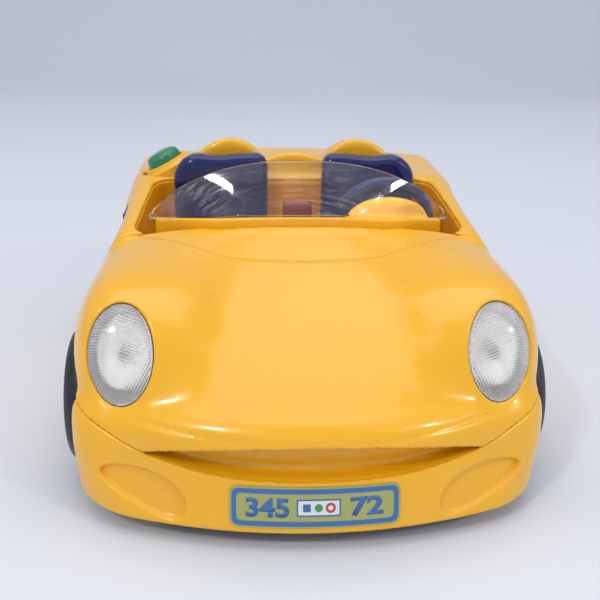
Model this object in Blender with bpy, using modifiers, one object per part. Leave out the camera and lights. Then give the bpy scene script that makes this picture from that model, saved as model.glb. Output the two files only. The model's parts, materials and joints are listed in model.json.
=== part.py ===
"""Toy remote control car: a two-seat open roadster with steered front wheels and a geared rear axle.

The nose points along -Y, +X is the car's own left side and Z = 0 is the ground. Named sizes are in
millimetres and degrees, and MM turns them into Blender's metres.
"""

import math

import bmesh
import bpy
import numpy as np
from mathutils import Matrix, Vector

MM = 0.001
GAP = 0.3  # clearance between neighbouring mouldings

# Driving dimensions
NOSE_Y, TAIL_Y = -137.0, 138.6
BODY_BOTTOM, BODY_TOP = 6.5, 110.0
SKIN = 2.2  # moulding thickness
HALF_WIDTH_FRONT, HALF_WIDTH_REAR = 85.5, 82.5
FRONT_AXLE_Y, REAR_AXLE_Y = -71.0, 85.0
WHEEL_Z, TYRE_R, TYRE_WIDTH = 28.0, 28.0, 21.0
WHEEL_X = 79.5
ARCH_R = 33.5
RIM_R = 17.0
KINGPIN_X = 59.0
STEER_ARM = 18.0
AXLE_R = 2.0
SEAM_Y = -31.0  # front clamshell meets the doors
CHASSIS_BOTTOM, CHASSIS_TOP = 3.9, 5.7
COCKPIT = (62.5, -29.0, 32.0)  # half width at the floor, front and back of the cockpit well
COCKPIT_FLOOR = 35.0
LAMP_CENTRE, LAMP_RADII, LAMP_TILT = (66.4, -104.1, 58.7), (11.8, 18.0), 21.5
GEAR_MODULE = 0.8
AXLE_TEETH, IDLER_BIG_TEETH, IDLER_SMALL_TEETH, PINION_TEETH = 30, 28, 12, 10
IDLER_Y = REAR_AXLE_Y - GEAR_MODULE * (AXLE_TEETH + IDLER_SMALL_TEETH) / 2
MOTOR_Y = IDLER_Y - GEAR_MODULE * (IDLER_BIG_TEETH + PINION_TEETH) / 2
WHEEL_PLACE, WHEEL_TURN = (38, -8, 80.5), (-70, 0, 0)  # steering wheel
BOSS_PLACE, BOSS_TURN = (-62.6, 47, 95.4), (0, -27.5, 0)
DASH_BACK = -18.0  # the dash's back edge, which overhangs the footwells
DASH_STEP = 3.4  # the dash's front edge stands this far above the hood
DASH_CREST, DASH_SLOPE = (0, -37.5, 90.4), -17  # the dash's top falls back towards the seats
BINNACLE_PLACE, BINNACLE_RADII = (38.5, -20.5, 83.6), (18.5, 6.5, 11.0)
SCREEN_STEPS = np.linspace(0, 1, 5)
FOG_PLACE, FOG_RADII = (58.5, 17.5), (16.5, 6.2)
BUMPER_ARCH = 0.0029  # how fast the bumper's front sweeps back
PLATE_EDGES = (9.2, 23.1)  # bottom and top of the number plate
SCREW_PLACES = ((36, -119), (-36, -119), (36, 121), (-36, 121))
SWITCH_PLACE, DOOR_SCREW_Y, HANDLE_PLACE = (44, 10), 30.5, (28, 73.5)

SKINS = ("front_", "rear_tub", "cockpit", "dashboard", "headlight_lens", "tail_light")

YELLOW, NAVY = (0.80, 0.40, 0.03, 1), (0.01, 0.02, 0.12, 1)
RED, GREEN, BLACK = (0.20, 0.01, 0.01, 1), (0.01, 0.22, 0.09, 1), (0.01, 0.01, 0.012, 1)
GREY, CLEAR, OLIVE = (0.12, 0.12, 0.13, 1), (0.85, 0.9, 0.92, 1), (0.35, 0.36, 0.1, 1)
STEEL, BRASS, WHITE = (0.55, 0.55, 0.57, 1), (0.6, 0.42, 0.12, 1), (0.8, 0.8, 0.78, 1)


# ---------------------------------------------------------------- body shape
def smooth_min(a, b, k):
    h = np.clip(0.5 + 0.5 * (b - a) / k, 0, 1)
    return b + (a - b) * h - k * h * (1 - h)


def smooth_max(a, b, k):
    return -smooth_min(-a, -b, k)


def bump(u):
    return np.exp(-u * u)


def wing(x, y, z, centre_x, radii, inner, power, plan_power):
    """Rough distance to a long rounded wing, squarer than an ellipse, with a wider inner flank."""
    across = np.where(x > centre_x, radii[0], inner)
    px, py, pz = np.abs(x - centre_x) / across, np.abs(y) / radii[1], np.abs(z) / radii[2]
    k0 = ((px**power + pz**power) ** (plan_power / power) + py**plan_power) ** (1 / plan_power) + 1e-9
    k1 = np.sqrt((px / across) ** 2 + (py / radii[1]) ** 2 + (pz / radii[2]) ** 2) + 1e-9
    return k0 * (k0 - 1) / k1


def hood_top(x, y):
    """Height of the hood, which is arched in plan and rises to the windscreen."""
    along = np.clip((y - 0.0044 * x * x + 134) / 94, 1e-4, 1.6)
    crown = 0.0026 * x * x * np.clip((y + 80) / 50, 0, 1) ** 1.5
    return 36 + 50 * along**0.62 - crown


def deck_top(x, y):
    """Height of the rear deck, with a fairing behind each seat."""
    back = np.clip((y - 38) / 104, 0, 1)
    fairing = 12.8 * np.clip(1 - ((x - 33.5) / 19.8) ** 2, 0, 1) ** 0.8 * (1 - 0.9 * back)
    middle = 3.6 * np.clip(1 - (x / 16.5) ** 2, 0, 1)
    return (99.3 - 0.0023 * x**2 + smooth_max(fairing, middle, 1.5)) * (1 - 0.46 * back**1.8)


def bumper_front(x, z):
    """Y of the bumper's front face, which leans back and is arched in plan."""
    return NOSE_Y + 0.24 * np.clip(z - 8, 0, 28) + BUMPER_ARCH * x**2


def body(x, y, z):
    """Signed distance, roughly, to the car's closed outer form, without its underside."""
    x = np.abs(x)
    tuck = 23.3 - 0.0012 * np.clip(46 - z, 0, 40) ** 2
    front_wing = wing(x, y - np.clip(y, -66, -5), np.maximum(z - 42, 0), 64, (tuck, 44, 38), 33, 2.7, 3)
    hood = smooth_max((z - hood_top(x, y)) * 0.55, x - 60, 6)
    hood = smooth_max(hood, (-134 + 0.0044 * x * x - y) * 0.9, 2)
    hood = smooth_max(hood, 34 - z, 2)
    hood = smooth_max(hood, y + 20, 4)
    corner = 12 + 0.5 * np.clip(26 - z, 0, 20)
    low = smooth_max(x - (HALF_WIDTH_FRONT - 0.0012 * (z - 45) ** 2), (bumper_front(x, z) - y) * 0.9, corner)
    low = smooth_max(low, z - 40, 8)
    low = smooth_max(low, y + 60, 8)
    front = smooth_min(smooth_min(hood, front_wing, 12), low, 8)

    side = x - (HALF_WIDTH_REAR - 3 * bump((y - 5) / 45) - 0.0012 * (z - 45) ** 2)
    doors = smooth_max(side, z - 80.5 - 10.8 * np.clip((y + 32) / 64, 0, 1) ** 0.75, 9)
    doors = smooth_max(doors, -34 - y, 2)
    tuck = 25.5 - 0.0012 * np.clip(48 - z, 0, 40) ** 2
    rear_wing = wing(x, y - np.clip(y, 60, 80), np.maximum(z - 48, 0), 60, (tuck, 60, 35), tuck, 3.2, 2)
    deck = smooth_max(smooth_max((z - deck_top(x, y)) * 0.8, side, 12), 36 - y, 3)
    tail = (y - (TAIL_Y - 0.0036 * x * x - 0.0030 * (z - 35) ** 2)) * 0.9
    rear = smooth_max(smooth_min(smooth_min(doors, deck, 6), rear_wing, 8), tail, 16)
    return smooth_min(front, rear, 2)


def on_body(points, inset):
    """Moves each point along a ray from the car's middle to a form inset from the body's."""
    core = np.stack([0 * points[:, 0], 0.75 * points[:, 1], np.minimum(points[:, 2], 40)], 1)
    ray = points - core
    inside, outside = np.zeros(len(points)), np.full(len(points), 1.6)
    for _ in range(40):
        middle = (inside + outside) / 2
        place = core + middle[:, None] * ray
        is_in = body(place[:, 0], place[:, 1], place[:, 2]) < -inset
        inside, outside = np.where(is_in, middle, inside), np.where(is_in, outside, middle)
    return core + inside[:, None] * ray


# ---------------------------------------------------------------- helpers
def clear_scene():
    for old in list(bpy.data.objects):
        bpy.data.objects.remove(old, do_unlink=True)


def collection(name):
    made = bpy.data.collections.new(name)
    bpy.context.scene.collection.children.link(made)
    return made


def plastic(name, colour, roughness=0.3, metallic=0.0):
    made = bpy.data.materials.new(name)
    made.use_nodes = True
    shader = made.node_tree.nodes["Principled BSDF"]
    shader.inputs["Base Color"].default_value = colour
    shader.inputs["Roughness"].default_value = roughness
    shader.inputs["Metallic"].default_value = metallic
    return made


def scaled(vector):
    return Vector(vector) * MM


def put(name, mesh, material=None, parent=None, at=(0, 0, 0), turn=(0, 0, 0)):
    """Adds an object: a part if it has a material, else a hidden cutter."""
    made = bpy.data.objects.new(name, mesh)
    made.location = scaled(at)
    made.rotation_euler = [math.radians(angle) for angle in turn]
    made.parent = parent
    if material:
        mesh.materials.clear()
        mesh.materials.append(material)
        PARTS.objects.link(made)
        mesh.shade_smooth()
        mesh.set_sharp_from_angle(angle=math.radians(35))
    else:
        CUTTERS.objects.link(made)
        made.hide_render = True
        made.display_type = "WIRE"
    return made


def pivot(name, at, parent=None, turn=(0, 0, 0)):
    """An empty on a joint's axis, which the pieces that move there hang from."""
    made = bpy.data.objects.new(name, None)
    made.location = scaled(at)
    made.rotation_euler = [math.radians(angle) for angle in turn]
    made.parent = parent
    PARTS.objects.link(made)
    return made


def mesh_from(bm, name="shape"):
    bmesh.ops.recalc_face_normals(bm, faces=bm.faces)
    mesh = bpy.data.meshes.new(name)
    bm.to_mesh(mesh)
    bm.free()
    return mesh


def box(size, centre=(0, 0, 0), bevel=0.0):
    """A box mesh; bevel rounds its edges with one segment."""
    bm = bmesh.new()
    bmesh.ops.create_cube(bm, size=1)
    bmesh.ops.scale(bm, vec=scaled(size), verts=bm.verts)
    bmesh.ops.translate(bm, vec=scaled(centre), verts=bm.verts)
    if bevel:
        bmesh.ops.bevel(bm, geom=bm.edges, offset=bevel * MM, segments=2, profile=0.5, affect="EDGES")
    return mesh_from(bm)


def cylinder(radius, length, centre=(0, 0, 0), axis="Z", sides=24, top_radius=None):
    bm = bmesh.new()
    top = radius if top_radius is None else top_radius
    bmesh.ops.create_cone(
        bm, cap_ends=True, segments=sides, radius1=radius * MM, radius2=top * MM, depth=length * MM
    )
    turn = {"X": Matrix.Rotation(math.pi / 2, 4, "Y"), "Y": Matrix.Rotation(-math.pi / 2, 4, "X")}
    if axis in turn:
        bmesh.ops.transform(bm, matrix=turn[axis], verts=bm.verts)
    bmesh.ops.translate(bm, vec=scaled(centre), verts=bm.verts)
    return mesh_from(bm)


def turned(profile, sides=24, closed=True, axis="Z"):
    """A solid of revolution about an axis, from (radius, height) points listed top to bottom."""
    bm = bmesh.new()
    spine = [bm.verts.new((radius * MM, 0, height * MM)) for radius, height in profile]
    edges = [bm.edges.new(pair) for pair in zip(spine, spine[1:])]
    if closed:
        edges.append(bm.edges.new((spine[-1], spine[0])))
    bmesh.ops.spin(
        bm, geom=spine + edges, cent=(0, 0, 0), axis=(0, 0, 1), angle=2 * math.pi, steps=sides,
        use_merge=True,
    )
    bmesh.ops.remove_doubles(bm, verts=bm.verts, dist=1e-6)
    turn = {"X": Matrix.Rotation(math.pi / 2, 4, "Y"), "Y": Matrix.Rotation(-math.pi / 2, 4, "X")}
    if axis in turn:
        bmesh.ops.transform(bm, matrix=turn[axis], verts=bm.verts)
    return mesh_from(bm)


def prism(outline, low, high):
    """An outline in XY, drawn up from one height to another."""
    bm = bmesh.new()
    floor = bm.faces.new([bm.verts.new((x * MM, y * MM, low * MM)) for x, y in outline])
    grown = bmesh.ops.extrude_face_region(bm, geom=[floor])["geom"]
    tops = [item for item in grown if isinstance(item, bmesh.types.BMVert)]
    bmesh.ops.translate(bm, vec=(0, 0, (high - low) * MM), verts=tops)
    return mesh_from(bm)


def loft(rings):
    """A closed solid through rings of equally many points, in millimetres, with both ends filled."""
    bm = bmesh.new()
    rows = [[bm.verts.new(scaled(point)) for point in ring] for ring in rings]
    count = len(rows[0])
    for low, high in zip(rows, rows[1:]):
        for i in range(count):
            bm.faces.new((low[i], low[(i + 1) % count], high[(i + 1) % count], high[i]))
    bm.faces.new(rows[0])
    bm.faces.new(rows[-1])
    return mesh_from(bm)


def boolean(target, cutter, operation="DIFFERENCE"):
    """Adds a Boolean. The thin curved skins need the manifold solver, because the exact one tears them."""
    modifier = target.modifiers.new(operation.lower(), "BOOLEAN")
    modifier.operation = operation
    modifier.object = cutter
    modifier.solver = "MANIFOLD" if target.name.startswith(SKINS) else "EXACT"
    return target


def cut(target, mesh, operation="DIFFERENCE", at=(0, 0, 0), turn=(0, 0, 0), parent=None):
    """Cuts, joins or intersects a target with a mesh of its own."""
    cutter = put(target.name + "_" + operation.lower(), mesh, None, parent, at, turn)
    return boolean(target, cutter, operation)


def mirrored(mesh):
    """The same shape on the car's other side."""
    bm = bmesh.new()
    bm.from_mesh(mesh)
    bmesh.ops.scale(bm, vec=(-1, 1, 1), verts=bm.verts)
    return mesh_from(bm)


def both_sides(name, make):
    """Makes name_left at +X and name_right at -X with a function of the side's sign."""
    return [make(f"{name}_{side}", sign) for side, sign in (("left", 1), ("right", -1))]


# ---------------------------------------------------------------- body mouldings
def body_form(inset=0.0, bottom=BODY_BOTTOM):
    """The body's closed form, or one inset from it, as a subdivided cube drawn onto it."""
    cells = {0: 16, 1: 28, 2: 7}
    bm = bmesh.new()
    bmesh.ops.create_cube(bm, size=2)
    for axis, count in cells.items():
        along = [e for e in bm.edges if abs((e.verts[0].co - e.verts[1].co)[axis]) > 1]
        bmesh.ops.subdivide_edges(bm, edges=along, cuts=count - 1, use_grid_fill=True)
    underside = [face for face in bm.faces if face.normal.z < -0.5]
    bmesh.ops.delete(bm, geom=underside, context="FACES")
    loose = [vert for vert in bm.verts if not vert.link_faces]
    bmesh.ops.delete(bm, geom=loose, context="VERTS")
    cage = np.array([vert.co[:] for vert in bm.verts])
    middle_y, half_y = (NOSE_Y + TAIL_Y) / 2, (TAIL_Y - NOSE_Y) / 2
    middle_z, half_z = (BODY_TOP + bottom) / 2, (BODY_TOP - bottom) / 2
    cage = cage * (85, half_y, half_z) + (0, middle_y, middle_z)
    for vert, place in zip(bm.verts, on_body(cage, inset)):
        vert.co = scaled(place)
    bmesh.ops.contextual_create(bm, geom=[edge for edge in bm.edges if edge.is_boundary])
    return mesh_from(bm, "body_form")


def skin_patch(name, bar, material):
    """The piece of skin inside a bar."""
    patch = boolean(put(name, bar, material), OUTER_FORM, "INTERSECT")
    return boolean(patch, INNER_FORM)


def seam_height(x):
    """Height of the seam between hood and bumper: the hood's lip, rising outside the grille."""
    x = abs(x)
    return 37.3 - 6.5 * (x / 58) ** 2 if x < 58 else 30.8 + 9.5 * ((x - 58) / 24) ** 1.3


def bumper_region(gap):
    """Everything below the hood seam and ahead of the front axle."""
    stations = np.linspace(-95, 95, 39)
    seam = [(x, seam_height(x) - gap) for x in stations]
    outline = seam + [(95, -10), (-95, -10)]
    mesh = prism(outline, 0, 80)
    mesh.transform(Matrix.Rotation(math.pi / 2, 4, "X"))
    mesh.transform(Matrix.Translation(scaled((0, FRONT_AXLE_Y, 0))))
    return mesh


def smile(half, low_grow, high_grow, front, back):
    """The grille recess: a lens in front view that follows the bumper's arch."""
    rings = []
    for x in np.linspace(-half, half, 21):
        low = 24.2 + 6.4 * abs(x / 59) ** 2.8 - low_grow
        high = seam_height(x) + high_grow
        face = bumper_front(abs(x), 28)
        rings.append([(x, face + y, z) for y, z in ((front, low), (back, low), (back, high), (front, high))])
    return loft(rings)


def arch(sign, axle_y):
    """A wheel opening: a half circle above the axle with straight sides below it."""
    turn = np.linspace(0, math.pi, 17)
    crown = [(-WHEEL_Z - ARCH_R * math.sin(a), axle_y + ARCH_R * math.cos(a)) for a in turn]
    mesh = prism([(10, axle_y + ARCH_R)] + crown + [(10, axle_y - ARCH_R)], 58, 118)
    mesh.transform(Matrix.Rotation(math.pi / 2, 4, "Y"))
    return mesh if sign > 0 else mirrored(mesh)


def ellipse_bar(radii, length, centre, tilt, sides=30):
    """An elliptical bar whose axis points forward, tipped up by tilt degrees."""
    bar = cylinder(1, length, axis="Y", sides=sides)
    bar.transform(Matrix.Diagonal((radii[0], 1, radii[1], 1)))
    bar.transform(Matrix.Rotation(math.radians(-tilt), 4, "X"))
    bar.transform(Matrix.Translation(scaled(centre)))
    return bar


def step_line(x):
    """Plan line of the dash's front edge, where the windscreen stands."""
    return -37.5 + 0.0047 * x * x


def front_region(gap, low):
    """Plan of everything ahead of the seam, which runs back beside the dash and forward at the doors."""
    seam = [(100, SEAM_Y), (72, SEAM_Y), (66, COCKPIT[1] - 0.5)]
    outline = [(x, y + gap) for x, y in seam] + [(-x, y + gap) for x, y in reversed(seam)]
    return prism(outline + [(-100, -200), (100, -200)], low, 140)


def dash_region(gap, low):
    half = 62 + gap
    stations = np.linspace(-half, half, 21)
    outline = [(x, step_line(x) - gap) for x in stations]
    outline += [(half, DASH_BACK), (-half, DASH_BACK)]
    return prism(outline, low, 112)


def well_half(y, z):
    """Half width of the cockpit well, whose sides lean out and draw together towards the back."""
    return COCKPIT[0] + 0.12 * (z - COCKPIT_FLOOR) - 0.083 * y


def cockpit_well(grow, low):
    front, back = COCKPIT[1] - grow, COCKPIT[2] + grow
    rings = []
    for z in (low, 135):
        ahead, behind = well_half(front, z) + grow, well_half(back, z) + grow
        rings.append([(ahead, front, z), (behind, back, z), (-behind, back, z), (-ahead, front, z)])
    return loft(rings)


def make_tray():
    """The cockpit's walls, floor and tunnel, which end just under the tub's skin."""
    tray = put("cockpit_tray", cockpit_well(SKIN, COCKPIT_FLOOR - SKIN), YELLOW_PLASTIC)
    cut(tray, INNER_FORM.data.copy(), "INTERSECT", at=(0, 0, -5 * GAP))
    cut(tray, front_region(GAP, 71))
    cut(tray, cockpit_well(0, COCKPIT_FLOOR))
    front, back = COCKPIT[1:]
    cut(tray, box((22, back - front + 2, 17.5), (0, (front + back) / 2, 42.75)), "UNION")
    cut(tray, dash_region(GAP, 71.7))
    cut(tray, cylinder(13.4, 20, (0, 0, -3)), at=BOSS_PLACE, turn=BOSS_TURN)


def surface_z(x, y):
    """Height of the body's top at a point in plan."""
    low, high = 20.0, 130.0
    for _ in range(40):
        middle = (low + high) / 2
        low, high = (middle, high) if body(x, y, middle) < 0 else (low, middle)
    return low


def surface_y(x, z):
    """Y of the body's front at a point seen from ahead."""
    ahead, behind = -160.0, -80.0
    for _ in range(40):
        middle = (ahead + behind) / 2
        ahead, behind = (ahead, middle) if body(x, middle, z) < 0 else (middle, behind)
    return ahead


def surface_x(y, z):
    """Half width of the body at a point on its side."""
    low, high = 40.0, 100.0
    for _ in range(40):
        middle = (low + high) / 2
        low, high = (middle, high) if body(middle, y, z) < 0 else (low, middle)
    return low


def moulding(name, region):
    """The part of the body's skin that lies inside a region."""
    piece = put(name, OUTER_FORM.data.copy(), YELLOW_PLASTIC)
    cut(piece, region, "INTERSECT")
    return boolean(piece, INNER_FORM)


def make_clamshell():
    clamshell = moulding("front_clamshell", front_region(-GAP / 2, -20))
    cut(clamshell, bumper_region(-GAP / 2))
    cut(clamshell, dash_region(GAP, 50))
    for sign in (1, -1):
        cut(clamshell, arch(sign, FRONT_AXLE_Y))
        cut(clamshell, lamp_bar(sign, 0.0))


def make_bumper():
    bumper = moulding("front_bumper", bumper_region(GAP / 2))
    cut(bumper, smile(57.6, SKIN, -2 * GAP, 0.5, 9.5), "UNION")
    cut(bumper, smile(56, 0, 4, -12, 7.5))
    for sign in (1, -1):
        cut(bumper, arch(sign, FRONT_AXLE_Y))
        x, z = FOG_PLACE
        recess = ellipse_bar(FOG_RADII, 20, (0, 1.2 - 10, 0), 0)
        recess.transform(Matrix.Rotation(math.radians(-sign * 17), 4, "Y"))
        recess.transform(Matrix.Rotation(sign * 2 * BUMPER_ARCH * x, 4, "Z"))
        recess.transform(Matrix.Translation(scaled((sign * x, surface_y(x, z), z))))
        cut(bumper, recess)


def make_tub():
    tub = put("rear_tub", OUTER_FORM.data.copy(), YELLOW_PLASTIC)
    cut(tub, front_region(GAP / 2, -20))
    boolean(tub, INNER_FORM)
    cut(tub, cockpit_well(0, COCKPIT_FLOOR))
    cut(tub, dash_region(GAP, 71.7))
    cut(tub, cylinder(13.4, 20, (0, 0, -3)), at=BOSS_PLACE, turn=BOSS_TURN)
    for sign in (1, -1):
        cut(tub, arch(sign, REAR_AXLE_Y))
        cut(tub, handle_mesh(sign, GAP))
        cut(tub, tail_bar(sign, 0.0))


def lamp_bar(sign, gap):
    x, y, z = LAMP_CENTRE
    radii = (LAMP_RADII[0] - gap, LAMP_RADII[1] - gap)
    return ellipse_bar(radii, 44, (sign * x, y, z), LAMP_TILT)


def tail_bar(sign, gap):
    return ellipse_bar((12 - gap, 8 - gap), 40, (sign * 57, 128, 50), 0)


def make_lamps():
    """Clear headlight covers and red tail lamps, flush with the skin, with bowls and bulbs inside."""
    for name, bar, material in (
        ("headlight_lens", lamp_bar, CLEAR_PLASTIC), ("tail_light", tail_bar, RED_PLASTIC)
    ):
        for side, sign in (("left", 1), ("right", -1)):
            skin_patch(f"{name}_{side}", bar(sign, GAP), material)
    bowl = [(0, 11.2), (0.4, 10.5), (0.75, 8.6), (0.86, 6.8)]
    bowl += [(0.95, 6.8), (0.86, 9.2), (0.45, 11.7), (0, 12.4)]
    bulb = [(0, 5), (1.6, 5.6), (2.2, 7), (1.8, 9), (1.8, 10.2), (0, 10.2)]
    for side, sign in (("left", 1), ("right", -1)):
        at = (sign * LAMP_CENTRE[0], LAMP_CENTRE[1], LAMP_CENTRE[2])
        turn = (-LAMP_TILT, 0, 0)
        dish = turned(bowl, 20, closed=False, axis="Y")
        dish.transform(Matrix.Diagonal((LAMP_RADII[0] - 1.8, 1, LAMP_RADII[1] - 4.8, 1)))
        put(f"headlight_reflector_{side}", dish, SILVER, None, at, turn)
        put(f"headlight_bulb_{side}", turned(bulb, 12, False, "Y"), CLEAR_PLASTIC, None, at, turn)


def make_dash():
    raised = OUTER_FORM.data.copy()
    raised.transform(Matrix.Translation(scaled((0, 0, DASH_STEP))))
    dash = put("dashboard", raised, YELLOW_PLASTIC)
    cut(dash, dash_region(0, 72), "INTERSECT")
    cut(dash, box((140, 60, 30), (0, 0, 15)), at=DASH_CREST, turn=(DASH_SLOPE, 0, 0))
    bm = bmesh.new()
    bmesh.ops.create_uvsphere(bm, u_segments=16, v_segments=8, radius=MM)
    bmesh.ops.scale(bm, vec=BINNACLE_RADII, verts=bm.verts)
    cut(dash, mesh_from(bm), "UNION", at=BINNACLE_PLACE)
    behind_screen = [(x, (step_line(x) + 4.2 - DASH_CREST[1]) * 1.046) for x in np.linspace(24, 66, 15)]
    room = prism(behind_screen + [(66, -6), (24, -6)], -0.1, 14)
    cut(dash, room, at=DASH_CREST, turn=(DASH_SLOPE, 0, 0))
    cut(dash, cylinder(3.5, 60), at=WHEEL_PLACE, turn=WHEEL_TURN)


def dash_top(x, y):
    """Height of the dash at a point, or of the body beside it."""
    if abs(x) > 62.6:
        return surface_z(abs(x), y)
    crest = DASH_CREST[2] + (y - DASH_CREST[1]) * math.tan(math.radians(DASH_SLOPE))
    return min(surface_z(abs(x), y) + DASH_STEP, crest)


def make_windscreen():
    """A sheet from the dash's step up to an arched top edge, bowed forward between them."""
    bm = bmesh.new()
    rows = []
    columns = [-0.985, -0.965] + list(np.linspace(-0.955, 0.955, 19)) + [0.965, 0.985]
    for u in columns:
        x = 65.5 * u
        base_y = step_line(x) + 1.6
        base = np.array((x, base_y, dash_top(x, base_y) + 0.6))
        top = np.array((x, -22.5 + 2.5 * u * u, 82 + 28.4 * (1 - abs(u) ** 2.3) ** 0.65))
        top[2] = max(top[2], base[2] + 2)
        rise = (top[2] - base[2]) / 23
        points = [base + v * (top - base) - (0, 3 * v * (1 - v) * 4 * 0.25 * rise, 0) for v in SCREEN_STEPS]
        rows.append([bm.verts.new(scaled(point)) for point in points])
    for left, right in zip(rows, rows[1:]):
        for i in range(len(SCREEN_STEPS) - 1):
            bm.faces.new((left[i], right[i], right[i + 1], left[i + 1]))
    screen = put("windscreen", mesh_from(bm), CLEAR_PLASTIC)
    thick = screen.modifiers.new("thickness", "SOLIDIFY")
    thick.thickness = 1.4 * MM
    thick.offset = 0


def make_seat(name, sign):
    """A bucket seat: one pad swept from the cushion's front edge up to the headrest."""
    path = [(-3, 46), (-1.5, 44.5), (8, 43), (17, 43.5), (22.5, 50)]
    path += [(24.5, 66), (25.5, 84), (26, 94), (26, 101), (26, 104.5)]
    half_widths = [17, 21, 22, 22, 22, 22, 22, 22.3, 21, 16]
    half_depths = [2.5, 6, 7, 7, 6, 5, 5, 5, 5, 2.5]
    rings = []
    for i, (y, z) in enumerate(path):
        ahead, behind = path[min(i + 1, len(path) - 1)], path[max(i - 1, 0)]
        run = Vector((ahead[0] - behind[0], ahead[1] - behind[1])).normalized()
        ring = []
        for k in range(16):
            angle = 2 * math.pi * k / 16
            across = math.copysign(abs(math.cos(angle)) ** 0.5, math.cos(angle)) * half_widths[i]
            deep = math.copysign(abs(math.sin(angle)) ** 0.7, math.sin(angle)) * half_depths[i]
            ring.append((sign * 35 + across, y + deep * run.y, z - deep * run.x))
        rings.append(ring)
    put(name, loft(rings), NAVY_PLASTIC)


def handle_mesh(sign, grow):
    y, z = HANDLE_PLACE
    side = surface_x(y, z)
    return box((3 + grow, 22 + 2 * grow, 7 + 2 * grow), (sign * (side - 0.9 - grow / 2), y, z))


def make_trim():
    stations = np.linspace(-29, 29, 13)
    bottom, top = PLATE_EDGES
    rings = []
    for x in stations:
        low, high = surface_y(abs(x), bottom) - 2 * GAP, surface_y(abs(x), top) - 2 * GAP
        rings.append([(x, low - 1, bottom), (x, low, bottom), (x, high, top), (x, high - 1, top)])
    put("number_plate", loft(rings), LABEL)
    both_sides("door_handle", lambda name, sign: put(name, handle_mesh(sign, 0), NAVY_PLASTIC))


def make_controls():
    wheel = pivot("steering_wheel_pivot", WHEEL_PLACE, turn=WHEEL_TURN)
    rim = turned(
        [(20.4 + 2.4 * math.cos(a), 2.4 * math.sin(a)) for a in np.linspace(0, -2 * math.pi, 8)[:-1]], 24
    )
    steering = put("steering_wheel", rim, NAVY_PLASTIC, wheel)
    cut(steering, cylinder(6.5, 4.5, (0, 0, -1)), "UNION", parent=wheel)
    for angle in (0, 180, 270):
        spoke = box((15, 5, 2.4), (12, 0, -0.6))
        cut(steering, spoke, "UNION", turn=(0, 0, angle), parent=wheel)
    put("steering_column", cylinder(2.8, 14, (0, 0, -10.8), sides=16), BLACK_PLASTIC, wheel)

    lever = pivot("gear_lever_pivot", (0, 0, 56))
    ball = turned([(0, 4), (2.8, 2.8), (4, 0), (2.8, -2.8), (0, -4)], 16, False)
    stick = put("gear_lever", ball, RED_PLASTIC, lever)
    cut(stick, cylinder(2.4, 24, (0, 0, 13), sides=12), "UNION", parent=lever)
    cut(stick, box((13, 9, 12), (0, 0, 26), 2), "UNION", parent=lever)

    boss = pivot("button_pivot", BOSS_PLACE, turn=BOSS_TURN)
    cup = [(0, -11), (9, -11), (9, 1.6), (10.8, 1.6), (11.2, 0), (13, -1), (13, -12.5), (0, -12.5)]
    put("button_boss", turned(cup, 28, False), YELLOW_PLASTIC, boss)
    cap = [(0, 7), (4.4, 6.8), (7.2, 5.9), (8.4, 4.2), (8.5, 2.6), (8.5, -3.8), (0, -3.8)]
    put("sound_button", turned(cap, 28, False), GREEN_PLASTIC, boss)
    put("button_switch", box((6, 6, 4.5), (0, 0, -8.45)), BLACK_PLASTIC, boss)


# ---------------------------------------------------------------- running gear
def tyre_mesh():
    half = TYRE_WIDTH / 2
    crown = [(24.2, half), (26.6, half - 2.4), (27.7, half - 6), (TYRE_R, 0)]
    under = [(r, -h) for r, h in crown[-2::-1]]
    inner = [(19.5, -half), (RIM_R + GAP, 2.4 - half), (RIM_R + GAP, half - 2.4), (19.5, half)]
    return turned(crown + under + inner, 20, axis="X")


def rim_mesh():
    profile = [
        (2.4, 8.6), (6.4, 8.6), (7.6, 5.5), (12.6, 4.6), (15.2, 8.2), (RIM_R, 8.2), (RIM_R, -8.2),
        (15, -8.2), (15, 0), (6, 0), (6, -8.2), (2.4, -8.2),
    ]
    return turned(profile, 16, axis="X")


def make_wheel(name, parent, sign):
    put("tyre_" + name, tyre_mesh(), RUBBER, parent)
    rim = rim_mesh()
    put("wheel_rim_" + name, rim if sign > 0 else mirrored(rim), YELLOW_PLASTIC, parent)


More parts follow.
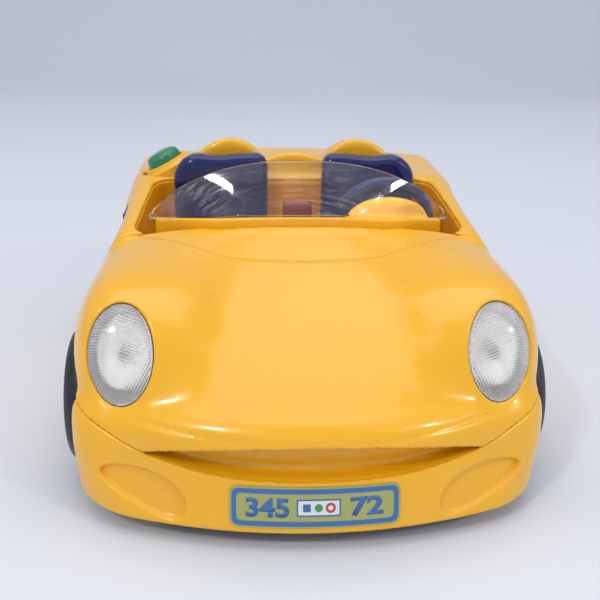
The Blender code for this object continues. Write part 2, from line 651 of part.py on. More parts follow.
def make_front_axle():
    for side, sign in (("left", 1), ("right", -1)):
        post = pivot(f"knuckle_{side}_pivot", (sign * KINGPIN_X, FRONT_AXLE_Y, WHEEL_Z))
        knuckle = put(f"knuckle_{side}", box((7, 9, 20)), GREY_PLASTIC, post)
        cut(knuckle, cylinder(2.2, 37.6, sides=16), "UNION", parent=post)
        cut(knuckle, cylinder(AXLE_R, 25, (sign * 12.5, 0, 0), "X", 16), "UNION", parent=post)
        cut(knuckle, box((5, STEER_ARM + 2.5, 4), (0, STEER_ARM / 2 + 1.25, 0)), "UNION", parent=post)
        cut(knuckle, cylinder(1.6, 8, (0, STEER_ARM, 3), sides=12), "UNION", parent=post)
        hub = pivot(f"front_wheel_{side}_pivot", (sign * (WHEEL_X - KINGPIN_X), 0, 0), post)
        make_wheel(f"front_{side}", hub, sign)

    rod_end = pivot("tie_rod_pivot", (KINGPIN_X, FRONT_AXLE_Y + STEER_ARM, WHEEL_Z))
    rod = put("tie_rod", box((2 * KINGPIN_X + 7, 7, 3), (-KINGPIN_X, 0, 3.8)), BLACK_PLASTIC, rod_end)
    for x in (0, -KINGPIN_X, -2 * KINGPIN_X):
        cut(rod, cylinder(2.1, 8, (x, 0, 3.8), sides=16), parent=rod_end)

    shaft = pivot("steering_horn_pivot", (0, FRONT_AXLE_Y, WHEEL_Z))
    horn = put("steering_horn", box((6, STEER_ARM + 6, 3), (0, STEER_ARM / 2, -0.2)), WHITE_PLASTIC, shaft)
    cut(horn, cylinder(3.6, 4, (0, 0, -2), sides=16), "UNION", parent=shaft)
    cut(horn, cylinder(1.6, 8, (0, STEER_ARM, 3), sides=12), "UNION", parent=shaft)
    put("steering_motor", box((28, 34, 17.5), (0, FRONT_AXLE_Y, 14.8), 1), BLACK_PLASTIC)


def gear_outline(teeth, tooth_at):
    """A spur gear's outline in YZ, with a tooth centred at the angle tooth_at in degrees."""
    pitch_r = GEAR_MODULE * teeth / 2
    root_r, tip_r = pitch_r - 0.95, pitch_r + 0.6
    flanks = ((root_r, -0.78), (tip_r, -0.28), (tip_r, 0.28), (root_r, 0.78))
    outline = []
    for tooth in range(teeth):
        middle = math.radians(tooth_at) + 2 * math.pi * tooth / teeth
        for radius, half in flanks:
            angle = middle + half / pitch_r
            outline.append((radius * math.cos(angle), radius * math.sin(angle)))
    return outline


def gear_mesh(teeth, low_x, high_x, tooth_at=180.0):
    """A gear on the X axis; the outline's first coordinate becomes Y and its second Z."""
    mesh = prism(gear_outline(teeth, tooth_at), low_x, high_x)
    mesh.transform(Matrix(((0, 0, 1, 0), (1, 0, 0, 0), (0, 1, 0, 0), (0, 0, 0, 1))))
    return mesh


def make_rear_axle():
    spindle = pivot("rear_axle_pivot", (0, REAR_AXLE_Y, WHEEL_Z))
    put("rear_axle", cylinder(AXLE_R, 2 * WHEEL_X + 14, axis="X", sides=16), STEEL_METAL, spindle)
    gear = put("axle_gear", gear_mesh(AXLE_TEETH, -12.6, -8), WHITE_PLASTIC, spindle)
    cut(gear, cylinder(AXLE_R + GAP, 20, (-10, 0, 0), "X", 16), parent=spindle)
    for side, sign in (("left", 1), ("right", -1)):
        hub = pivot(f"rear_wheel_{side}_pivot", (sign * WHEEL_X, 0, 0), spindle)
        make_wheel(f"rear_{side}", hub, sign)

    idler = pivot("idler_pivot", (0, IDLER_Y, WHEEL_Z))
    half_gap = 180 / IDLER_SMALL_TEETH
    wheel = put("idler_gear", gear_mesh(IDLER_BIG_TEETH, -7.2, -3.2), WHITE_PLASTIC, idler)
    cut(wheel, gear_mesh(IDLER_SMALL_TEETH, -12.6, -7, half_gap), "UNION", parent=idler)
    cut(wheel, cylinder(1.5, 15.2, (-7.3, 0, 0), "X", 12), "UNION", parent=idler)

    drive = pivot("pinion_pivot", (0, MOTOR_Y, WHEEL_Z))
    pinion = put("motor_pinion", gear_mesh(PINION_TEETH, -7.2, -2.6, 180 / PINION_TEETH), BRASS_METAL, drive)
    cut(pinion, cylinder(1.2, 4, (-1.2, 0, 0), "X", 12), "UNION", parent=drive)
    can = turned([(0, 12.3), (9, 12.3), (10, 11.3), (10, -11.3), (9, -12.3), (0, -12.3)], 24, False, "X")
    put("drive_motor", can, STEEL_METAL, None, (13.6, MOTOR_Y, WHEEL_Z))

    box_size, middle = (44, 58, 2), (6.5, 70.5, 7.1)
    housing = put("gearbox", box(box_size, middle), GREY_PLASTIC)
    for x in (-14.6, -0.4):
        cut(housing, box((2, 56, 36), (x, 70.5, 24.5)), "UNION")
    cut(housing, cylinder(AXLE_R + 0.7, 40, (-7, REAR_AXLE_Y, WHEEL_Z), "X", 16))
    cut(housing, cylinder(2.0, 40, (-7, IDLER_Y, WHEEL_Z), "X", 16))
    cut(housing, cylinder(3.0, 6, (-0.4, MOTOR_Y, WHEEL_Z), "X", 16))


# ---------------------------------------------------------------- base and electrics
def chassis_outline():
    """Plan of the base plate's left half, from nose to tail, mirrored to the right."""
    nose = [(x, bumper_front(x, 5) + 4) for x in (12, 24, 36, 48, 54)]
    waist = [(54, -116), (47, -113), (47, -45), (74, -43), (74, 46), (49, 50), (49, 120)]
    tail = [(x, 134.5 - 0.0036 * x * x) for x in (48, 36, 24, 12)]
    left = nose + waist + tail
    return left + [(-x, y) for x, y in reversed(left)]


def make_chassis():
    base = put("chassis", prism(chassis_outline(), CHASSIS_BOTTOM, CHASSIS_TOP), BLACK_PLASTIC)
    for sign in (1, -1):
        bracket_x = sign * 54.5
        cut(base, box((17, 12, 9), (bracket_x, FRONT_AXLE_Y, 9.5)), "UNION")
        cut(base, box((4, 12, 41), (sign * 48, FRONT_AXLE_Y, 26)), "UNION")
        cut(base, box((17, 12, 5), (bracket_x, FRONT_AXLE_Y, 44.5)), "UNION")
        cut(base, cylinder(2.7, 43, (sign * KINGPIN_X, FRONT_AXLE_Y, 30), sides=16))
        cut(base, box((6, 14, 30), (sign * 46, REAR_AXLE_Y, 20)), "UNION")
        cut(base, box((4, 8, 18), (sign * 32, -10, 13.5)), "UNION")
    cut(base, cylinder(AXLE_R + 0.7, 120, (0, REAR_AXLE_Y, WHEEL_Z), "X", 16))
    cut(base, box((58, 68, 10), (0, 0, 5)))
    cut(base, box((5.4, 9.6, 10), (*SWITCH_PLACE, 5)))
    for x, y in SCREW_PLACES:
        cut(base, cylinder(1.9, 10, (x, y, 5), sides=12))


def screw_mesh():
    """A pan head under the base and a plain shank above it."""
    top, seat = CHASSIS_TOP + 6, CHASSIS_BOTTOM - GAP
    shank, head = [(0, top), (1.3, top - 1), (1.3, seat)], [(3, seat), (2.6, seat - 1.4), (0, seat - 1.6)]
    return turned(shank + head, 12, False)


def make_electrics():
    door = put("battery_door", box((57.4, 67.4, 1.6), (0, 0, CHASSIS_BOTTOM + 0.8)), BLACK_PLASTIC)
    cut(door, cylinder(1.9, 10, (0, DOOR_SCREW_Y, 5), sides=12))
    put("battery_door_screw", screw_mesh(), STEEL_METAL, None, (0, DOOR_SCREW_Y, 0))
    for number, (x, y) in enumerate(SCREW_PLACES, 1):
        put(f"body_screw_{number}", screw_mesh(), STEEL_METAL, None, (x, y, 0))
    cell = [(0, 25.2), (2.6, 25.2), (2.6, 23.8), (7.1, 23.8), (7.1, -24.6), (0, -24.6)]
    for number in range(4):
        turn = (0, 0, 180 * (number % 2))
        place = (0, -25.5 + 15 * number, 13.9)
        put(f"battery_cell_{number + 1}", turned(cell, 16, False, "X"), GREEN_PLASTIC, None, place, turn)
    slider = put("power_switch", box((4.4, 4.6, 3.4), (0, 0, 0)), BLACK_PLASTIC, None, (*SWITCH_PLACE, 4.9))
    cut(slider, box((9, 12, 1.2), (0, 0, 1.9)), "UNION", at=(*SWITCH_PLACE, 4.9))
    put("receiver_board", box((68, 42, 1.6), (0, -9, 23.6)), GREEN_PLASTIC)
    cone = [(0, 16), (9, 16), (15.5, 9), (15.5, 6.1), (0, 6.1)]
    put("speaker", turned(cone, 24, False), BLACK_PLASTIC, None, (0, 117, 0))


clear_scene()
PARTS, CUTTERS = collection("toy_remote_control_car"), collection("cutters")
YELLOW_PLASTIC = plastic("yellow_plastic", YELLOW, 0.22)
NAVY_PLASTIC, RED_PLASTIC = plastic("navy_plastic", NAVY, 0.2), plastic("red_plastic", RED, 0.25)
GREEN_PLASTIC, BLACK_PLASTIC = plastic("green_plastic", GREEN, 0.25), plastic("black_plastic", BLACK, 0.45)
GREY_PLASTIC, WHITE_PLASTIC = plastic("grey_plastic", GREY, 0.5), plastic("white_plastic", WHITE, 0.4)
CLEAR_PLASTIC, SILVER = plastic("clear_plastic", CLEAR, 0.05), plastic("silver", STEEL, 0.2, 1.0)
STEEL_METAL, BRASS_METAL = plastic("steel", STEEL, 0.3, 1.0), plastic("brass", BRASS, 0.3, 1.0)
RUBBER, LABEL = plastic("rubber", BLACK, 0.35), plastic("label", OLIVE, 0.35)

OUTER_FORM = put("outer_form", body_form())
INNER_FORM = put("inner_form", body_form(SKIN, BODY_BOTTOM - 10))
make_clamshell()
make_bumper()
make_tub()
make_tray()
make_lamps()
make_dash()
make_windscreen()
both_sides("seat", make_seat)
make_trim()
make_controls()
make_front_axle()
make_rear_axle()
make_chassis()
make_electrics()
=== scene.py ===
"""Looks of the toy remote control car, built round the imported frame.

Shapes are worked out in millimetres and MM turns them into Blender's metres. The curved mouldings are the
zero surfaces of distance fields, meshed finely, so that every opening has a moulded, rounded edge.
"""

import json
import math

import bmesh
import bpy
import numpy as np
from mathutils import Matrix, Vector


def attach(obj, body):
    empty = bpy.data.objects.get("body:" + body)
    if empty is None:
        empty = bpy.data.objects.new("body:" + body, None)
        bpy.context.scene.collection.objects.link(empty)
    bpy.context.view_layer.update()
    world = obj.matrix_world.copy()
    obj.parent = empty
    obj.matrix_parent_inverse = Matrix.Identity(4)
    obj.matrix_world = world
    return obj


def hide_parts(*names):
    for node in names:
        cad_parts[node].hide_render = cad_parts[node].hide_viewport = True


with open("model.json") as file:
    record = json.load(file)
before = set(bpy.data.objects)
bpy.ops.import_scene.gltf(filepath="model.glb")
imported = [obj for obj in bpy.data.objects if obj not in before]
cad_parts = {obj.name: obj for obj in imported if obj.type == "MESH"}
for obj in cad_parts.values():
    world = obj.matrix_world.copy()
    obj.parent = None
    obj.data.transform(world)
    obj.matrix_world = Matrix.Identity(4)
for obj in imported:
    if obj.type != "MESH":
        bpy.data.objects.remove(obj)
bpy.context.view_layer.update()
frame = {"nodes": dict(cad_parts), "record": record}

MM = 0.001
GAP = 0.3
BLOCK = 4  # cells across one coarse block of the mesher

# The frame's driving sizes
NOSE_Y, TAIL_Y = -137.0, 138.6
BODY_BOTTOM = 6.5
SKIN = 2.2
HALF_WIDTH_FRONT, HALF_WIDTH_REAR = 85.5, 82.5
FRONT_AXLE_Y, REAR_AXLE_Y = -71.0, 85.0
WHEEL_Z, TYRE_R, TYRE_WIDTH, WHEEL_X = 28.0, 28.0, 21.0, 79.5
ARCH_R, RIM_R = 33.5, 17.0
SEAM_Y = -31.0
COCKPIT = (62.5, -29.0, 32.0)
COCKPIT_FLOOR = 35.0
LAMP_CENTRE, LAMP_RADII, LAMP_TILT = (66.4, -104.1, 58.7), (11.8, 18.0), 21.5
WHEEL_PLACE, WHEEL_TURN = (38, -8, 80.5), (-70, 0, 0)
BOSS_PLACE, BOSS_TURN = (-62.6, 47, 95.4), (0, -27.5, 0)
DASH_BACK = -18.0
DASH_STEP = 3.4
DASH_CREST_Y, DASH_CREST_Z, DASH_SLOPE = -37.5, 90.4, 17.0
BINNACLE_PLACE, BINNACLE_RADII = (38.5, -20.5, 83.6), (18.5, 6.5, 11.0)
FOG_PLACE, FOG_RADII = (58.5, 17.5), (16.5, 6.2)
BUMPER_ARCH = 0.0029
HOOD_NOSE_Y, HOOD_ARCH = -134, 0.0044
SIDE_SWELL = 0.0012  # how fast the sides draw in above and below their widest line
COWL_EDGE_Y, COWL_ARCH, COWL_DROP = -62, 0.0062, 1.2
SCREEN_HALF, SCREEN_THICK, SCREEN_BEHIND = 65.5, 1.4, 1.6
FOG_LEAN = math.radians(17)
PLATE_EDGES = (9.2, 23.1)
PLATE_STEP = 1.5  # the plate's layers are cut this often, so that they bend with the bumper
INK_LIFT, MARK_LIFT, INK_DEPTH = 0.68, 0.72, 0.1  # of the printed layers, from the bumper's face
FOG_DEPTH = 1.9
HANDLE_PLACE = (28, 73.5)
TAIL_LAMP = (57.0, 50.0, 12.0, 8.0)  # centre across and up, half width, half height

CAMERA_PLACE, CAMERA_LENS = (-21.7, -376.7, 179.7), 51
CAMERA_TURN = (3.61, 20.32, 0.97)  # yaw, downward pitch and roll in degrees

FINE = 1.0


# ---------------------------------------------------------------- fields
def smooth_min(a, b, k):
    h = np.clip(0.5 + 0.5 * (b - a) / k, 0, 1)
    return b + (a - b) * h - k * h * (1 - h)


def smooth_max(a, b, k):
    return -smooth_min(-a, -b, k)


def smooth_step(u):
    u = np.clip(u, 0, 1)
    return u * u * (3 - 2 * u)


def bump(u):
    return np.exp(-u * u)


def wing(x, y, z, centre_x, radii, inner, power, plan_power):
    """Rough distance to a long rounded wing, squarer than an ellipse, with a wider inner flank."""
    across = np.where(x > centre_x, radii[0], inner)
    px, py, pz = np.abs(x - centre_x) / across, np.abs(y) / radii[1], np.abs(z) / radii[2]
    k0 = ((px**power + pz**power) ** (plan_power / power) + py**plan_power) ** (1 / plan_power) + 1e-9
    k1 = np.sqrt((px / across) ** 2 + (py / radii[1]) ** 2 + (pz / radii[2]) ** 2) + 1e-9
    return k0 * (k0 - 1) / k1


def hood_top(x, y):
    """Height of the hood, which rises fast behind its nose and then levels out."""
    along = np.clip((y - HOOD_ARCH * x * x - HOOD_NOSE_Y) / 94, 1e-4, 1.6)
    crown = 0.0026 * x * x * np.clip((y + 80) / 50, 0, 1) ** 1.5
    return 36 + 50 * along**0.62 - crown


def deck_top(x, y):
    """Height of the rear deck, with a fairing behind each seat and a low one between them."""
    back = np.clip((y - 38) / 104, 0, 1)
    fairing = 12.8 * np.clip(1 - ((x - 33.5) / 19.8) ** 2, 0, 1) ** 0.8 * (1 - 0.9 * back)
    middle = 3.6 * np.clip(1 - (x / 16.5) ** 2, 0, 1)
    return (99.3 - 0.0023 * x**2 + smooth_max(fairing, middle, 1.5)) * (1 - 0.46 * back**1.8)


def bumper_front(x, z):
    """Y of the bumper's face, which arches back to the sides and leans back with height."""
    return NOSE_Y + 0.24 * np.clip(z - 8, 0, 28) + BUMPER_ARCH * x**2


def body(x, y, z):
    """Signed distance, roughly, to the car's closed outer form, without its underside."""
    x = np.abs(x)
    tuck = 23.3 - SIDE_SWELL * np.clip(46 - z, 0, 40) ** 2
    front_wing = wing(x, y - np.clip(y, -66, -5), np.maximum(z - 42, 0), 64, (tuck, 44, 38), 33, 2.7, 3)
    hood = smooth_max((z - hood_top(x, y)) * 0.55, x - 60, 6)
    hood = smooth_max(hood, (HOOD_NOSE_Y + HOOD_ARCH * x * x - y) * 0.9, 2)
    hood = smooth_max(hood, 34 - z, 2)
    hood = smooth_max(hood, y + 20, 4)
    corner = 12 + 0.5 * np.clip(26 - z, 0, 20)
    flank = x - (HALF_WIDTH_FRONT - SIDE_SWELL * (z - 45) ** 2)
    low = smooth_max(flank, (bumper_front(x, z) - y) * 0.9, corner)
    low = smooth_max(low, z - 40, 8)
    low = smooth_max(low, y + 60, 8)
    front = smooth_min(smooth_min(hood, front_wing, 12), low, 8)

    side = x - (HALF_WIDTH_REAR - 3 * bump((y - 5) / 45) - SIDE_SWELL * (z - 45) ** 2)
    doors = smooth_max(side, z - 80.5 - 10.8 * np.clip((y + 32) / 64, 0, 1) ** 0.75, 9)
    doors = smooth_max(doors, -34 - y, 2)
    tuck = 25.5 - SIDE_SWELL * np.clip(48 - z, 0, 40) ** 2
    rear_wing = wing(x, y - np.clip(y, 60, 80), np.maximum(z - 48, 0), 60, (tuck, 60, 35), tuck, 3.2, 2)
    deck = smooth_max(smooth_max((z - deck_top(x, y)) * 0.8, side, 12), 36 - y, 3)
    tail = (y - (TAIL_Y - 0.0036 * x * x - 0.0030 * (z - 35) ** 2)) * 0.9
    rear = smooth_max(smooth_min(smooth_min(doors, deck, 6), rear_wing, 8), tail, 16)
    return smooth_min(front, rear, 2)


def slab(value, low, high):
    """Distance outside a range, negative inside it."""
    return np.abs(value - (low + high) / 2) - (high - low) / 2


def cuboid(x, y, z, low, high, round_by):
    """Distance to a box with rounded edges."""
    low, high = np.array(low, float), np.array(high, float)
    middle, half = (low + high) / 2, (high - low) / 2 - round_by
    q = [np.abs(value - m) - h for value, m, h in zip((x, y, z), middle, half)]
    outside = np.sqrt(sum(np.maximum(part, 0) ** 2 for part in q))
    return outside + np.minimum(np.maximum(np.maximum(q[0], q[1]), q[2]), 0) - round_by


def ellipse(a, b, half_a, half_b):
    """Rough distance to an ellipse."""
    k0 = np.sqrt((a / half_a) ** 2 + (b / half_b) ** 2) + 1e-9
    k1 = np.sqrt((a / half_a**2) ** 2 + (b / half_b**2) ** 2) + 1e-9
    return k0 * (k0 - 1) / k1


def step_line(x):
    """Plan line of the dash's front edge."""
    return -37.5 + 0.0047 * x * x


def seam_height(x):
    """Height of the seam between hood and bumper, lowest beside the grille."""
    x = np.abs(x)
    return np.where(x < 58, 37.3 - 6.5 * (x / 58) ** 2, 30.8 + 9.5 * (np.maximum(x - 58, 0) / 24) ** 1.3)


def seam_y(x):
    """Plan line between the front moulding and the tub."""
    return np.interp(np.abs(x), (66, 72), (COCKPIT[1] - 0.5, SEAM_Y))


def arch(x, y, z, axle_y):
    """A wheel opening: round above the axle, with straight sides below it."""
    return smooth_max(np.hypot(y - axle_y, np.maximum(z - WHEEL_Z, 0)) - ARCH_R, 58 - np.abs(x), 1)


def bumper_zone(x, y, z, gap):
    """Everything under the seam and ahead of the front axle."""
    return np.maximum((z - seam_height(x) + gap) * 0.93, y - FRONT_AXLE_Y)


def dash_zone(x, y, z, gap, low):
    """The dash's plan, from its front edge back over the footwells."""
    plan = np.maximum(np.abs(x) - 62 - gap, np.maximum(step_line(x) - gap - y, y - DASH_BACK))
    return np.maximum(plan * 0.9, low - z)


def lamp_across(x, y, z):
    """A point's place across and up the headlight's face, from its centre."""
    tilt = math.radians(LAMP_TILT)
    up = (y - LAMP_CENTRE[1]) * math.sin(tilt) + (z - LAMP_CENTRE[2]) * math.cos(tilt)
    return np.abs(x) - LAMP_CENTRE[0], up


def lamp_zone(x, y, z, gap):
    across, up = lamp_across(x, y, z)
    hole = ellipse(across, up, LAMP_RADII[0] - gap, LAMP_RADII[1] - gap)
    return np.maximum(hole, y + 80)


def tail_zone(x, y, z, gap):
    centre_x, centre_z, half_x, half_z = TAIL_LAMP
    hole = ellipse(np.abs(x) - centre_x, z - centre_z, half_x - gap, half_z - gap)
    return np.maximum(hole, 100 - y)


def wall(form, x, y, z, thickness=SKIN):
    """A moulded wall under a form, open below. The form's field is evened out where it is steep."""
    value = form(x, y, z)
    ahead = (form(x + 0.5, y, z), form(x, y + 0.5, z), form(x, y, z + 0.5))
    steep = np.sqrt(sum((other - value) ** 2 for other in ahead)) / 0.5
    depth = value / np.clip(steep, 0.5, 3)
    return np.maximum(smooth_max(depth, BODY_BOTTOM - z, 1.2), -depth - thickness)


def cowl_body(x, y, z):
    """The outer form with the cowl's lens-shaped panel, whose front edge is a faint step."""
    edge = COWL_EDGE_Y + COWL_ARCH * x * x
    along = np.clip((y - edge) / (step_line(x) - edge), 0, 1)
    panel = COWL_DROP * smooth_step((y - edge) / 3) * (1 - along) * smooth_step((74 - np.abs(x)) / 8)
    return body(x, y, z + panel * smooth_step((z - 60) / 10))


def clamshell_field(x, y, z):
    f = wall(cowl_body, x, y, z)
    f = smooth_max(f, (y - seam_y(x) + GAP / 2) * 0.8, 0.7)
    f = smooth_max(f, -bumper_zone(x, y, z, -GAP / 5), 0.3)
    f = smooth_max(f, -dash_zone(x, y, z, GAP, 50), 0.5)
    f = smooth_max(f, -arch(x, y, z, FRONT_AXLE_Y), 1.6)
    return smooth_max(f, -lamp_zone(x, y, z, 0), 1.1)


def fog_zone(x, z):
    """A leaf seen from ahead, blunt at its outer end and leaning down towards the number plate."""
    across, up = np.abs(x) - FOG_PLACE[0], z - FOG_PLACE[1]
    facing = math.cos(math.atan(2 * BUMPER_ARCH * FOG_PLACE[0]))
    along = (across * math.cos(FOG_LEAN) + up * math.sin(FOG_LEAN)) / facing
    over = up * math.cos(FOG_LEAN) - across * math.sin(FOG_LEAN)
    return ellipse(along, over * (1 + 0.014 * along) + 0.006 * along**2 - 0.6, FOG_RADII[0], FOG_RADII[1])


def bumper_field(x, y, z):
    recess = fog_zone(x, z)
    f = wall(body, x, y, z, SKIN + FOG_DEPTH * smooth_step((5 - recess) / 5))
    f = smooth_max(f, bumper_zone(x, y, z, GAP / 5), 0.3)
    low, high = 24.2 + 6.4 * abs(x / 59) ** 2.8, seam_height(x)
    ahead = y - bumper_front(x, 28)
    block = np.maximum(slab(z, low - SKIN, high - 2 * GAP), slab(ahead, 0.5, 9.5))
    f = smooth_min(f, np.maximum(block, np.abs(x) - 57.6), 0.6)
    hollow = smooth_max(slab(z, low, high + 4) * 0.95, slab(ahead, -12, 7.5), 2.2)
    f = smooth_max(f, -smooth_max(hollow, np.abs(x) - 57, 1), 2.4)
    f = smooth_max(f, -arch(x, y, z, FRONT_AXLE_Y), 1.6)
    return smooth_max(f, -smooth_max(recess, -body(x, y, z) - FOG_DEPTH, 1.2), 1.3)


def well(x, y, z, grow, low, round_by):
    """The cockpit well, whose sides lean out and draw together towards the back."""
    half, front, back = COCKPIT
    side = np.abs(x) - half - 0.12 * (z - COCKPIT_FLOOR) + 0.083 * y - grow
    plan = smooth_max(side, slab(y, front - grow, back + grow), 3 * round_by)
    return smooth_max(plan, low - z, 2 * round_by)


def tub_field(x, y, z):
    f = wall(body, x, y, z)
    f = smooth_max(f, (seam_y(x) + GAP / 2 - y) * 0.8, 0.7)
    f = smooth_max(f, -well(x, y, z, 0, COCKPIT_FLOOR, 3), 2.0)
    f = smooth_max(f, -dash_zone(x, y, z, GAP, 71.7), 0.4)
    f = smooth_max(f, -boss_zone(x, y, z), 0.6)
    f = smooth_max(f, -arch(x, y, z, REAR_AXLE_Y), 1.6)
    f = smooth_max(f, -tail_zone(x, y, z, 0), 0.9)
    hy, hz = HANDLE_PLACE
    pocket = (HANDLE_SIDE - 1.2, hy - 11.3, hz - 3.8), (HANDLE_SIDE + 9, hy + 11.3, hz + 3.8)
    return smooth_max(f, -cuboid(np.abs(x), y, z, *pocket, 1), 0.6)


def tray_field(x, y, z):
    """The cockpit's walls, floor and tunnel, ending just under the tub's skin."""
    front, back = COCKPIT[1:]
    f = smooth_max(well(x, y, z, SKIN, COCKPIT_FLOOR - SKIN, 2), -well(x, y, z, 0, COCKPIT_FLOOR, 3), 0.8)
    tunnel = cuboid(x, y, z, (-11, front - 1, 34), (11, back + 1, 51.5), 2.5)
    f = smooth_min(f, tunnel, 1.5)
    f = smooth_max(f, body(x, y, z) + SKIN - 0.7, 0.5)
    f = smooth_max(f, np.minimum((seam_y(x) + GAP / 2 - y) * 0.8, z - 71), 0.3)
    f = smooth_max(f, -boss_zone(x, y, z), 0.6)
    return smooth_max(f, -dash_zone(x, y, z, GAP, 71.7), 0.4)


def boss_zone(x, y, z):
    lean = math.radians(BOSS_TURN[1])
    dx, dy, dz = x - BOSS_PLACE[0], y - BOSS_PLACE[1], z - BOSS_PLACE[2]
    up = dx * math.sin(lean) + dz * math.cos(lean)
    across = dx * math.cos(lean) - dz * math.sin(lean)
    return np.maximum(np.hypot(across, dy) - 13.4, slab(up, -13, 7))


def dash_field(x, y, z):
    """The raised dash, whose top falls back from its front edge, with a dome over the instruments."""
    slope = math.radians(DASH_SLOPE)
    crest = (y - DASH_CREST_Y) * math.sin(slope) + (z - DASH_CREST_Z) * math.cos(slope)
    f = smooth_max(body(x, y, z - DASH_STEP), dash_zone(x, y, z, 0, 72), 0.8)
    f = smooth_max(f, crest, 1.2)
    centre, radii = BINNACLE_PLACE, BINNACLE_RADII
    q = [(value - c) / r for value, c, r in zip((x, y, z), centre, radii)]
    k0 = np.sqrt(sum(part**2 for part in q)) + 1e-9
    k1 = np.sqrt(sum((part / r) ** 2 for part, r in zip(q, radii))) + 1e-9
    dome = smooth_max(k0 * (k0 - 1) / k1, step_line(x) + 4.2 - y, 1.0)
    f = smooth_min(f, dome, 2.5)
    turn = math.radians(WHEEL_TURN[0])
    dy, dz = y - WHEEL_PLACE[1], z - WHEEL_PLACE[2]
    down = dy * math.cos(turn) + dz * math.sin(turn)
    return smooth_max(f, 3.5 - np.hypot(x - WHEEL_PLACE[0], down), 0.5)


def seat_field(x, y, z, centre_x):
    """A bucket seat: a cushion and a leaning back, with a roll at its top and a rounder outer corner."""
    out = (x - centre_x) * math.copysign(1, centre_x)
    lean = np.interp(z, (46, 66, 84, 104), (22.0, 24.3, 25.4, 25.8))
    corner = np.where(out > 0, 12.5, 6.0)
    top = 104.8 - 1.2 * bump((out - 1) / 9)
    qx, qz = np.abs(out) - 22.2 + corner, slab(z, 41, top) + corner
    outline = np.hypot(np.maximum(qx, 0), np.maximum(qz, 0)) + np.minimum(np.maximum(qx, qz), 0) - corner
    roll = smooth_step((z - 87) / 5)
    half_deep = 3.9 + 1.5 * roll + 0.5 * bump((out - 14) / 8) * roll
    dent = 1.5 * smooth_step(1.15 - np.abs(out) / 15) * smooth_step((z - 52) / 6) * smooth_step((86 - z) / 6)
    deep = np.abs(y - lean - dent / 2) - half_deep + dent / 2
    r = 3.7
    outside = np.hypot(np.maximum(outline + r, 0), np.maximum(deep + r, 0))
    back = outside + np.minimum(np.maximum(outline, deep) + r, 0) - r
    rise = 0.6 * np.clip(-y, 0, 9) * 0.4 + 1.6 * smooth_step((np.abs(out) - 11) / 8)
    pad = cuboid(out, y, z - rise, (-22, -8.4, 37), (22, 27, 48.6), 4.4)
    return smooth_min(back, pad, 5)


def lens_field(x, y, z):
    """The clear cover, flush outside, with fine ribs in three sectors inside."""
    outer = body(x, y, z) + 0.15
    across, up = lamp_across(x, y, z)
    around = np.arctan2(up + 3, across + 1)
    sector = np.where(np.abs(around - 0.25) < 0.85, 0, np.where(around > 0, 1, 2))
    lean = np.choose(sector, (1.5, 1.9, 0.5))
    rib = np.sin((across * np.cos(lean) + up * np.sin(lean)) * 2 * math.pi / 0.95)
    f = smooth_max(outer, -outer - 1.5 + 0.075 * rib, 0.3)
    return smooth_max(f, lamp_zone(x, y, z, GAP), 0.5)


def tail_field(x, y, z):
    outer = body(x, y, z)
    rib = np.sin(z * 2 * math.pi / 1.6)
    f = smooth_max(outer, -outer - 1.7 + 0.15 * rib, 0.3)
    return smooth_max(f, tail_zone(x, y, z, GAP), 0.6)


def solve(low, high, is_low):
    """The value between low and high where is_low(value) stops being true."""
    low, high = np.array(low, float), np.array(high, float)
    for _ in range(40):
        middle = (low + high) / 2
        keep = is_low(middle)
        low, high = np.where(keep, middle, low), np.where(keep, high, middle)
    return low


def surface_z(x, y):
    return solve(20.0 + 0 * x, 130.0 + 0 * x, lambda z: body(x, y, z) < 0)


def surface_y(x, z):
    return solve(-160.0 + 0 * x, -80.0 + 0 * x, lambda y: body(x, y, z) > 0)


HANDLE_SIDE = float(solve(40.0, 100.0, lambda x: body(x, *HANDLE_PLACE) < 0))


